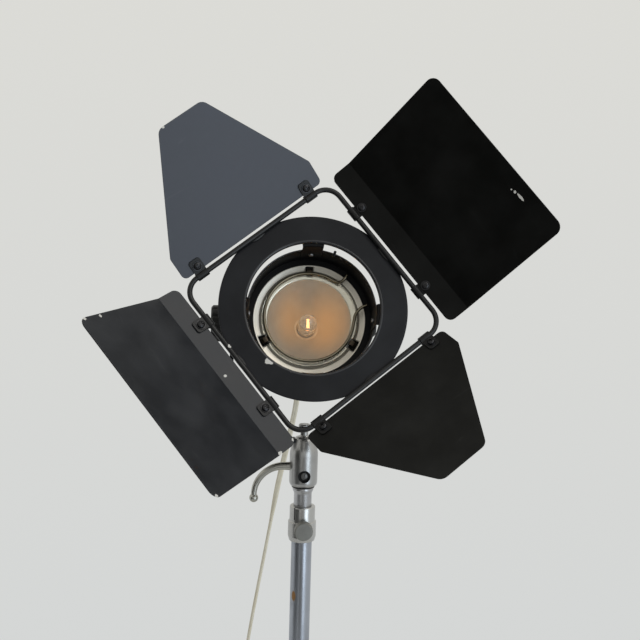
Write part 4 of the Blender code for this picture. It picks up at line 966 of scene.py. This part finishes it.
def fold_sheet(bm, place, angle, radius=0.0022):
    """Bend the sheet toward its front round a small radius, starting at this distance from the rod."""
    half = radius * math.tan(angle / 2)
    steps = 6
    low = place - half
    length = radius * angle
    for k in range(steps + 1):
        split(bm, (low + length * k / steps, 0, 0), (1, 0, 0))
    for vert in bm.verts:
        x, z = vert.co.x, vert.co.z
        if x <= low + NEARLY:
            continue
        turned = min(1.0, (x - low) / length) * angle
        rest = max(0.0, x - low - length)
        middle_x = low + radius * math.sin(turned) + rest * math.cos(turned)
        middle_z = radius * (1 - math.cos(turned)) + rest * math.sin(turned)
        vert.co.x = middle_x - z * math.sin(turned)
        vert.co.z = middle_z + z * math.cos(turned)


def clip_outline(behind):
    inner = ROD_RADIUS + GAP
    outer = inner + CLIP_SHEET
    tab_low = SHEET / 2 + GAP
    tab_high = tab_low + CLIP_SHEET
    start_outer = math.degrees(math.asin(tab_high / outer))
    start_inner = math.degrees(math.asin(tab_low / inner))
    outline = [(CLIP_REACH, tab_low), (CLIP_REACH, tab_high)]
    outline += arc((0, 0), outer, start_outer, 335, 28)
    outline += arc((0, 0), inner, 335, start_inner, 24)
    if behind:
        outline = [(x, -z) for x, z in outline]
    return outline


def build_leaf(index):
    large = index % 2 == 0
    name = LEAF_NAMES[index]
    behind = TAB_BEHIND[index]
    turn = BARNDOOR @ spin(90 * index)
    hinge = turn @ shift(ROD_HALF_SIDE, 0, ROD_HEIGHT) @ spin(-LEAF_ANGLES[index], "Y")
    if large:
        reach = LARGE_FOLD + LARGE_PANEL
        corners = box_outline(LEAF_START, reach, -LARGE_HALF, LARGE_HALF)
        outline = rounded(corners, [LEAF_CORNER * 0.8, LEAF_CORNER, LEAF_CORNER, LEAF_CORNER * 0.8], 8)
    else:
        soft = LEAF_CORNER * 0.6
        half = [(LEAF_START, SMALL_HALF, soft), (SMALL_SHOULDER, SMALL_HALF, soft)]
        half += [(SMALL_REACH, SMALL_TIP_HALF, LEAF_CORNER)]
        outline = rounded([(x, -y, r) for x, y, r in half] + half[::-1], steps=8)
    bm = prism(outline, -SHEET / 2, SHEET / 2)
    if large:
        fold_sheet(bm, LARGE_FOLD, LARGE_BEND)
    body = f"{name}_body"
    piece(f"{name}_sheet", bm, name, hinge, body, name, bevel=0.0003, angle=50)

    tab_top = SHEET / 2 if behind else SHEET / 2 + GAP + CLIP_SHEET
    back = -SHEET / 2 - (GAP + CLIP_SHEET if behind else 0)
    for k, middle in enumerate((-CLIP_PLACES[index % 2], CLIP_PLACES[index % 2])):
        strap = prism(clip_outline(behind), middle - CLIP_WIDTH / 2, middle + CLIP_WIDTH / 2, "xz")
        corners = [e for e in level_edges(strap) if all(abs(v.co.x - CLIP_REACH) < NEARLY for v in e.verts)]
        bmesh.ops.bevel(strap, geom=corners, offset=0.003, segments=6, affect="EDGES", profile=0.5)
        piece(f"{name}_strap_{k + 1}", strap, "clip", hinge, body, f"{name}_clip_{k + 1}", bevel=0.00025)
        low, high = tab_top + 0.0001, tab_top + 0.0006
        bm = revolve([(0.0017, low), (0.0017, high), (0.0046, high), (0.0048, low)], 40, loop=True)
        turn = Matrix.Rotation(0.5 + 1.3 * k + index, 4, "Z")
        join(bm, cross_head(0.0038, 0.0024), shift(0, 0, tab_top + 0.0008) @ turn)
        tail = [(0, back - 0.003), (0.0012, back - 0.003), (0.0015, back - 0.0026)]
        tail += [(0.0015, tab_top + 0.0004), (0, tab_top + 0.0004)]
        join(bm, revolve(tail, 24))
        join(bm, prism(arc((0, 0), 0.0032, 0, 300, 5), back - 0.0019, back - 0.0001))
        place = hinge @ shift(SCREW_REACH, middle, 0)
        piece(f"{name}_fixing_{k + 1}", bm, "screw", place, body, f"{name}_screw_{k + 1}")


# Arm and stand


def build_arm():
    inner = -ARM_INSIDE
    outer = inner - ARM_THICK
    low = -ARM_DROP + 0.007
    corner = (outer + 0.012, low + 0.012)
    outline = [(outer, ARM_TOP), (inner, ARM_TOP)]
    outline += arc(corner, 0.008, 180, 270, 8)
    outline += [(-0.006, low + ARM_THICK), (-0.006, low)]
    outline += arc(corner, 0.012, 270, 180, 10)
    bm = prism(outline, -ARM_WIDTH / 2, ARM_WIDTH / 2, "xz")
    top = [e for e in level_edges(bm) if min(v.co.z for v in e.verts) > ARM_TOP - NEARLY]
    bmesh.ops.bevel(bm, geom=top, offset=ARM_WIDTH * 0.45, segments=12, affect="EDGES", profile=0.5)
    start = -0.03
    split(bm, (start, 0, 0), (1, 0, 0))
    for vert in bm.verts:
        if vert.co.x > start + NEARLY:
            vert.co.y *= 0.46
    piece("support_arm", bm, "housing", PIVOT, "pan_head", "side_arm", bevel=0.0006)

    face = ARM_INSIDE + ARM_THICK + GAP
    profile = [(0, -ARM_INSIDE), (0.004, -ARM_INSIDE), (0.004, -face), (0.0114, -face, 0.0004)]
    profile += [(0.0114, -face - 0.004, 0.0006), (0.019, -face - 0.0058, 0.0012)]
    profile += [(0.019, -0.0985, 0.0012), (0.0168, -0.1005, 0.0012), (0, -0.1005)]
    grip = fluting(12, 0.0012, 0.017, lambda wave: max(0.0, wave) ** 2)
    piece("tilt_grip", revolve(profile, 144, axis="x", wobble=grip), "black", PIVOT, "tilt_lock", "tilt_knob")


def build_stand_head():
    top, bottom = -0.1057, -0.172
    upper = ((0, 0), (0.0054, 0), (0.0062, 0.0008), (0.0063, 0.0026), (0.0056, 0.0048), (0.0046, 0.0066))
    upper += ((0.0041, 0.0088), (0.0042, 0.0116), (0.0052, 0.013), (0.0088, 0.0138), (0.0102, 0.015))
    upper += ((0.0112, 0.0172), (0.0124, 0.0205), (0.0136, 0.024), (0.0144, 0.027), (0.0149, 0.03))
    lower = ((0.015, 0.005), (0.0147, 0.003), (0.0139, 0.0013), (0.0128, 0.0002), (0.0122, 0))
    profile = [(radius, top - below) for radius, below in upper + ((0.015, 0.033),)]
    profile += [(radius, bottom + above) for radius, above in lower]
    profile += [(TUBE_BORE, bottom), (TUBE_BORE, -0.145), (0, -0.145)]
    head = piece("head_casting", revolve(profile, 96), "cast", PIVOT, "pan_head", "stand_head")
    recess = revolve([(0, -0.03), (0.0066, -0.03), (0.0066, -0.0106), (0, -0.0106)], 48, axis="y")
    recess.transform(shift(0, 0, RECESS_Z))
    slot = prism(box_outline(-0.03, -0.0057, -0.0058, 0.0058), -0.1253, -0.1207)
    cut(head, PIVOT, recess, slot)
    add_bevel(head, 0.0004, 50)

    cup = [(0, -0.0107), (0.00655, -0.0107), (0.00655, -0.0138)]
    cup += [(0.0062, -0.0138), (0.0062, -0.011), (0, -0.011)]
    piece("recess_cup", revolve(cup, 48, axis="y"), "black", PIVOT @ shift(0, 0, RECESS_Z), "pan_head")
    lift = PIVOT @ shift(0, -0.011, RECESS_Z) @ spin(90, "X") @ spin(75)
    piece("casting_screw", slotted_head(0.004, 0.0019), "dull", lift, "pan_head", "recess_screw")
    washer = [(0.0099, -0.1734), (0.0099, -0.1721), (0.0124, -0.1721), (0.0122, -0.1734)]
    piece("head_washer", revolve(washer, FINE, loop=True), "black", PIVOT, "pan_head")

    start = -0.0153
    height = -0.1512
    bend = 0.031
    path = [(0.004 + start, 0, height), (start - 0.003, 0, height)]
    path += [(x, 0, z) for x, z in arc((start - 0.006, height - bend), bend, 90, 180, 24)]
    route = smooth_route(path, 0.0012)[0]
    lever = sweep(route, round_section(lambda t: 0.0046 - 0.0016 * t ** 0.8, 24))
    join(lever, ball(0.0048, 36, 20), Matrix.Translation(route[-1] + Vector((0, 0, -0.0036))))
    piece("locking_lever", lever, "lever", PIVOT, "lever", "lock_lever")


def build_tubes():
    top = -0.1453
    profile = [(0.0085, top), (RISER_RADIUS, top), (RISER_RADIUS, -0.1737), (0.0109, -0.1737)]
    profile += [(0.0112, -0.1742), (0.0112, -0.1758), (0.0106, -0.1776), (0.0098, -0.179)]
    profile += [(RISER_RADIUS, -0.1802), (RISER_RADIUS, top - 0.62), (0.0085, top - 0.62)]
    piece("inner_tube", revolve(profile, FINE, loop=True), "riser", PIVOT, "riser", "riser_tube")
    high, step, low = -0.194, -0.21, -0.2315
    main_top = low + 0.03
    bottom = LOW_HUB - HUB_HALF + 0.004 - PIVOT_HEIGHT
    profile = [(TUBE_BORE, main_top), (MAIN_RADIUS, main_top), (MAIN_RADIUS, bottom + 0.0004)]
    profile += [(0.0106, bottom), (TUBE_BORE, bottom)]
    piece("outer_tube", revolve(profile, FINE, loop=True), "tube", PIVOT, "column", "main_tube")

    profile = [(TUBE_BORE, high), (0.0136, high, 0.0012), (0.0136, step, 0.0004)]
    profile += [(0.015, step - 0.0006, 0.0008), (0.015, low + 0.005, 0.002), (0.0136, low, 0.0008)]
    clear = MAIN_RADIUS + GAP
    profile += [(clear, low), (clear, main_top + GAP), (TUBE_BORE, main_top + GAP)]
    collar = piece("clamp_sleeve", revolve(profile, 96, loop=True), "collar", PIVOT, "column", "clamp_collar")
    slit = prism(box_outline(-0.0002, 0.0009, 0.008, 0.02), high - 0.0132, high + 0.001)
    slit.transform(spin(140))
    cut(collar, PIVOT, slit)
    piece("clamp_disc", disc_knob(0.015), "disc", PIVOT @ shift(0, 0, -0.215), "collar_knob", "clamp_knob")


def disc_knob(surface):
    """Round clamping knob on a stud, its axis along -Y."""
    start = -(surface + GAP)
    profile = [(0, start), (0.0025, start), (0.0025, start - 0.003), (0.0086, start - 0.003, 0.0004)]
    profile += [(0.0098, start - 0.0042, 0.0006), (0.0098, start - 0.0112, 0.0007)]
    profile += [(0.0086, start - 0.0125, 0.0004), (0, start - 0.0125)]
    return revolve(profile, 144, axis="y", wobble=fluting(36, 0.00022, 0.0092))


def hub(name, node, body, height, bar, offset, ear_sides):
    """Ring round the tube with ears and pins: in pairs for three legs, or single for three braces."""
    clear = MAIN_RADIUS + GAP
    section = [(clear, -HUB_HALF), (clear, HUB_HALF), (0.019, HUB_HALF, 0.0014), (0.019, -HUB_HALF, 0.0014)]
    bm = revolve(rounded(section), 96, loop=True)
    inner = bar / 2 + GAP
    outer = inner + 0.003
    ends = rounded(box_outline(0.014, 0.037, -HUB_HALF, HUB_HALF), [0, 0.007, 0.007, 0], 8)
    for direction in LEG_DIRECTIONS:
        turn = spin(direction)
        for sign in ear_sides:
            y0, y1 = sorted((offset + sign * inner, offset + sign * outer))
            ear = prism(ends, y0, y1, "xz")
            bmesh.ops.bevel(ear, geom=level_edges(ear), offset=0.0005, segments=2, affect="EDGES")
            join(bm, ear, turn)
        first = offset - (outer - 0.0004 if -1 in ear_sides else bar / 2)
        last = offset + outer
        profile = [(0, first), (0.002, first), (0.002, last), (0.0036, last)]
        profile += [(0.003, last + 0.0012), (0, last + 0.0016)]
        join(bm, revolve(profile, 24, axis="y"), turn @ shift(EAR_REACH, 0, 0))
    piece(name, bm, "black", STAND @ shift(0, 0, height), body, node)


def build_tripod():
    spread = math.radians(45)
    brace_length = 0.22
    high = LOW_HUB + 2 * brace_length * math.cos(spread)
    extra = (LOW_HUB - FOOT_RADIUS + FOOT_CUT) / math.cos(spread)
    leg_length = 2 * brace_length + extra
    half_bar = 0.00125
    brace_offset = 0.007 + GAP + half_bar
    hub("upper_hub", "leg_collar", "leg_slide", high, 0.005, 0.0, (-1, 1))
    hub("lower_hub", "brace_hub", "column", LOW_HUB, 2 * half_bar, brace_offset, (1,))
    end = leg_length - 0.004
    for name, direction in zip(("rear", "left", "right"), LEG_DIRECTIONS):
        turn = STAND @ spin(direction)
        body = f"{name}_leg_body"
        swing = turn @ shift(EAR_REACH, 0, high) @ Matrix.Rotation(-spread, 4, "Y")
        bm = revolve([(0, -end), (0.007, -end), (0.007, -0.0215), (0.0066, -0.0208), (0, -0.0208)], 40)
        flat = rounded(box_outline(-0.006, 0.006, -0.032, 0.006), [0, 0, 0.00585, 0.00585], 8)
        join(bm, prism(flat, -0.0025, 0.0025, "xz"))
        piece(f"{name}_leg_tube", bm, "leg", swing, body, f"{name}_leg", bevel=0.0003, angle=50)

        centre = -leg_length
        bore_end = -(end + GAP)
        profile = [(0, bore_end), (0.0073, bore_end)]
        steps = ((0.0073, 0.032), (0.0084, 0.032), (0.009, 0.0312), (0.0092, 0.024), (0.0086, 0.0234))
        steps += ((0.0086, 0.022), (0.0093, 0.0214), (FOOT_RADIUS, 0.01))
        profile += [(radius, centre + above) for radius, above in steps]
        profile += arc((0, centre), FOOT_RADIUS, 0, -81, 9) + [(0, centre - FOOT_RADIUS)]
        foot = revolve(profile, 48)
        down = Vector((-math.sin(spread), 0, -math.cos(spread)))
        sole = Vector((0, 0, centre)) + down * (FOOT_RADIUS - FOOT_CUT)
        edge = split(foot, sole, down, clear_outer=True)
        rim = [item for item in edge["geom_cut"] if isinstance(item, bmesh.types.BMEdge)]
        bmesh.ops.edgeloop_fill(foot, edges=rim)
        piece(f"{name}_foot_cap", foot, "rubber", swing, body, f"{name}_foot")

        body = f"{name}_brace_body"
        swing = turn @ shift(EAR_REACH, 0, LOW_HUB) @ Matrix.Rotation(spread, 4, "Y")
        outline = arc((0, brace_length), 0.005, 0, 180, 16) + arc((0, 0), 0.005, 180, 360, 16)
        bm = prism(outline, brace_offset - half_bar, brace_offset + half_bar, "xz")
        profile = ((0, 0), (0.0038, 0), (0.0038, 0.00145), (0.0032, 0.0026), (0.0018, 0.0031), (0, 0.0032))
        rivet = revolve([(radius, brace_offset + out) for radius, out in profile], 32, axis="y")
        join(bm, rivet, shift(0, 0, brace_length))
        piece(f"{name}_brace_bar", bm, "leg", swing, body, f"{name}_brace", bevel=0.0004, angle=50)
    piece("leg_lock_disc", disc_knob(0.019), "black", STAND @ shift(0, 0, high), "leg_lock", "leg_knob")


# Cord


def coil_points():
    """Two layers of loops: the lower spirals in, the upper spirals out above it."""
    centre = Vector((-0.208, 0.12, 0))
    turns_in, turns_out, per_turn = 2.0, 1.25, 24
    points = []
    for k in range(round((turns_in + turns_out) * per_turn) + 1):
        turned = k / per_turn
        inward = turns_in - abs(turned - turns_in)
        radius = 0.072 - 0.008 * inward
        climb = min(1.0, max(0.0, (turned - turns_in + 0.25) / 0.5))
        height = 0.0026 + 0.005 * (3 * climb ** 2 - 2 * climb ** 3)
        angle = math.radians(62) + 2 * math.pi * turned
        points.append(centre + Vector((radius * math.cos(angle), radius * math.sin(angle), height)))
    along = (points[-1] - points[-2]).normalized()
    last = points[-1].copy()
    for share in (0.2, 0.4, 0.6, 0.8, 1.0):
        points.append(last + along * 0.062 * share + Vector((0, 0, 0.0012 * share)))
    return points


def build_cord():
    back = Vector((0, math.cos(TILT_UP), -math.sin(TILT_UP)))
    start = Vector((0, 0, PIVOT_HEIGHT)) + back * CORD_EXIT
    coil = coil_points()
    along = (coil[0] - coil[1]).normalized()
    route = [start, start + back * 0.012]
    route += [(0.001, 0.127, 1.05), (0.001, 0.136, 1.018), (0, 0.138, 0.992), (-0.0085, 0.137, 0.946)]
    route += [(-0.0187, 0.137, 0.897), (-0.0326, 0.137, 0.815), (-0.052, 0.137, 0.696)]
    route += [(-0.074, 0.138, 0.52), (-0.089, 0.139, 0.33), (-0.096, 0.14, 0.15)]
    route += [(-0.1, 0.1425, 0.06), (-0.11, 0.1485, 0.02), (-0.128, 0.159, 0.0055)]
    route += [coil[0] + along * 0.024, coil[0] + along * 0.012] + coil
    path, length = smooth_route([STAND @ Vector(p) for p in route], 0.0035)
    ups = []
    for k, p in enumerate(path):
        twist = math.radians(8 + 78 * min(1.0, max(0.0, (0.89 - p.z) / 0.045)))
        hanging = Vector((math.sin(twist), math.cos(twist), 0))
        level = min(1.0, max(0.0, (p.z - 0.012) / 0.09))
        ups.append(hanging * level + Vector((0, 0, 1)) * (1 - level))
    section = []
    for j in range(28):
        a = 2 * math.pi * j / 28
        wide = 0.00325 * math.cos(a)
        thick = 0.00205 * math.sin(a) * (1 - 0.24 * math.exp(-(wide / 0.001) ** 2))
        section.append((wide, thick))
    bm = sweep(path, lambda k, count: section, ups=ups)
    flex = piece("mains_flex", bm, "flex", Matrix.Identity(4), "column", "cord", "cord_coil", angle=60)

    lead = (coil[-1] - coil[-2]).normalized()
    lead = Vector((lead.x, lead.y, 0)).normalized()
    at = STAND @ (coil[-1] + lead * GAP)
    turn = shift(at.x, at.y, 0.0) @ Matrix.Rotation(math.atan2(lead.y, lead.x), 4, "Z")
    stations = [(-0.004, 0.005, 0.0046), (0.0, 0.007, 0.006), (0.006, 0.0092, 0.0072)]
    stations += [(0.01, 0.0118, 0.0084), (0.016, 0.0129, 0.0089), (0.034, 0.013, 0.009)]
    stations += [(0.0372, 0.0128, 0.0088), (0.038, 0.012, 0.008)]
    plug_height = 0.0092
    route = []
    sizes = []
    for (x0, w0, h0), (x1, w1, h1) in zip(stations, stations[1:]):
        for j in range(6):
            t = j / 6
            route.append((x0 + (x1 - x0) * t, 0, plug_height))
            s = 3 * t ** 2 - 2 * t ** 3
            sizes.append((w0 + (w1 - w0) * s, h0 + (h1 - h0) * s))
    route.append((stations[-1][0], 0, plug_height))
    sizes.append(stations[-1][1:])

    def shape(k, count):
        wide, high = sizes[k]
        power = 0.55
        made = []
        for j in range(48):
            a = 2 * math.pi * j / 48
            c, s = math.cos(a), math.sin(a)
            made.append((wide * math.copysign(abs(c) ** power, c), high * math.copysign(abs(s) ** power, s)))
        return made

    body = sweep(route, shape, ups=[(0, 0, 1)] * len(route))
    plug = piece("mains_plug", body, "flex", turn, "column", "plug", angle=50)
    pins = bmesh.new()
    prong = [(0, 0.03), (0.0024, 0.03), (0.0024, 0.0555), (0.0018, 0.0568), (0, 0.0572)]
    for side in (-1, 1):
        join(pins, revolve(prong, 24, axis="x"), shift(0, side * 0.0095, plug_height))
    pins = piece("plug_pins", pins, "chrome", turn, "column")


# Studio


def build_studio():
    scene = bpy.context.scene
    scene.view_settings.view_transform = "Standard"
    scene.world = bpy.data.worlds.new("studio")
    scene.world.use_nodes = True
    sky = Nodes(scene.world.node_tree)
    around = sky.node("ShaderNodeTexCoord").outputs["Generated"]
    height = sky.node("ShaderNodeSeparateXYZ", {0: around}).outputs["Z"]
    tilt = sky.math("MULTIPLY_ADD", height, 0.9, 0.55)
    tint = sky.ramp(tilt, (0.0, (0.645, 0.665, 0.668)), (1.0, (0.735, 0.725, 0.68)))
    ray = sky.node("ShaderNodeLightPath").outputs
    seen = sky.math("MAXIMUM", ray["Is Camera Ray"], ray["Is Glossy Ray"])
    seen = sky.math("MAXIMUM", seen, ray["Is Transmission Ray"])
    level = sky.node("ShaderNodeMapRange", {"Value": seen, "To Min": 0.62, "To Max": 1.0}).outputs["Result"]
    background = sky.tree.nodes["Background"]
    sky.feed(background.inputs["Color"], tint)
    sky.feed(background.inputs["Strength"], level)

    floor = bmesh.new()
    bmesh.ops.create_circle(floor, cap_ends=True, segments=128, radius=2.2)
    p = Paint("pale_floor")
    alpha = p.fade(p.vector("LENGTH", p.coords)["Value"], 0.75, 1.45)
    p.set(colour=(0.9, 0.9, 0.885), rough=0.9, specular=0.1, alpha=alpha)
    place_mesh("floor", floor, p.mat, shift(0, 0, -0.0002))

    def lamp(name, place, target, size, power, colour):
        light = bpy.data.lights.new(name, "AREA")
        light.shape = "RECTANGLE"
        light.size, light.size_y = size
        light.energy = power
        light.color = colour
        obj = bpy.data.objects.new(name, light)
        scene.collection.objects.link(obj)
        obj.location = place
        obj.rotation_mode = "QUATERNION"
        obj.rotation_quaternion = (Vector(target) - Vector(place)).to_track_quat("-Z", "Y")
        obj.visible_camera = False

    lamp("window", (1.15, -1.85, 1.05), (0, -0.15, 1.1), (0.9, 2.0), 14.0, (0.76, 0.88, 1.0))
    lamp("overhead", (1.00, -0.9, 2.7), (0, -0.1, 1.1), (1.3, 1.3), 14.0, (1.0, 0.98, 0.95))

    def card(name, place, target, size, colour):
        """A dark studio flag that only reflections see."""
        bm = bmesh.new()
        bmesh.ops.create_grid(bm, x_segments=1, y_segments=1, size=0.5)
        bm.transform(Matrix.Diagonal((*size, 1, 1)))
        p = Paint(name)
        p.set(colour=colour, rough=0.9, specular=0.0)
        turn = (Vector(target) - Vector(place)).to_track_quat("Z", "Y").to_matrix().to_4x4()
        obj = place_mesh(name, bm, p.mat, Matrix.Translation(place) @ turn)
        for kind in ("camera", "diffuse", "shadow", "transmission"):
            setattr(obj, f"visible_{kind}", False)

    card("flag_left", (-1.35, -1.05, 0.75), (0, -0.1, 1.1), (1.5, 1.5), (0.02, 0.02, 0.018))
    card("flag_low", (0.0, -1.9, 0.25), (0, -0.1, 0.9), (1.3, 1.0), (0.16, 0.14, 0.12))


make_camera()
STUFF = make_materials()
tube_stain = (((-0.0077, -0.0079, -0.2913), 0.0075, (1.5, 1.5, 0.75), (0.36, 0.19, 0.06), 0.9),)
# The outer tube's bluish tint is a painted reflection of the blue window light.
STUFF["tube"] = plated("outer_chrome", (0.38, 0.405, 0.45), 0.3, stains=tube_stain)
STUFF["riser"] = plated("inner_chrome", (0.46, 0.46, 0.47), 0.27)
STUFF["leg"] = plated("leg_chrome", (0.48, 0.485, 0.49), 0.26)
build_cord()
build_housing()
build_optics()
build_bulb()
build_brackets()
build_ring()
for leaf_index in range(4):
    build_leaf(leaf_index)
build_arm()
build_stand_head()
build_tubes()
build_tripod()
build_studio()
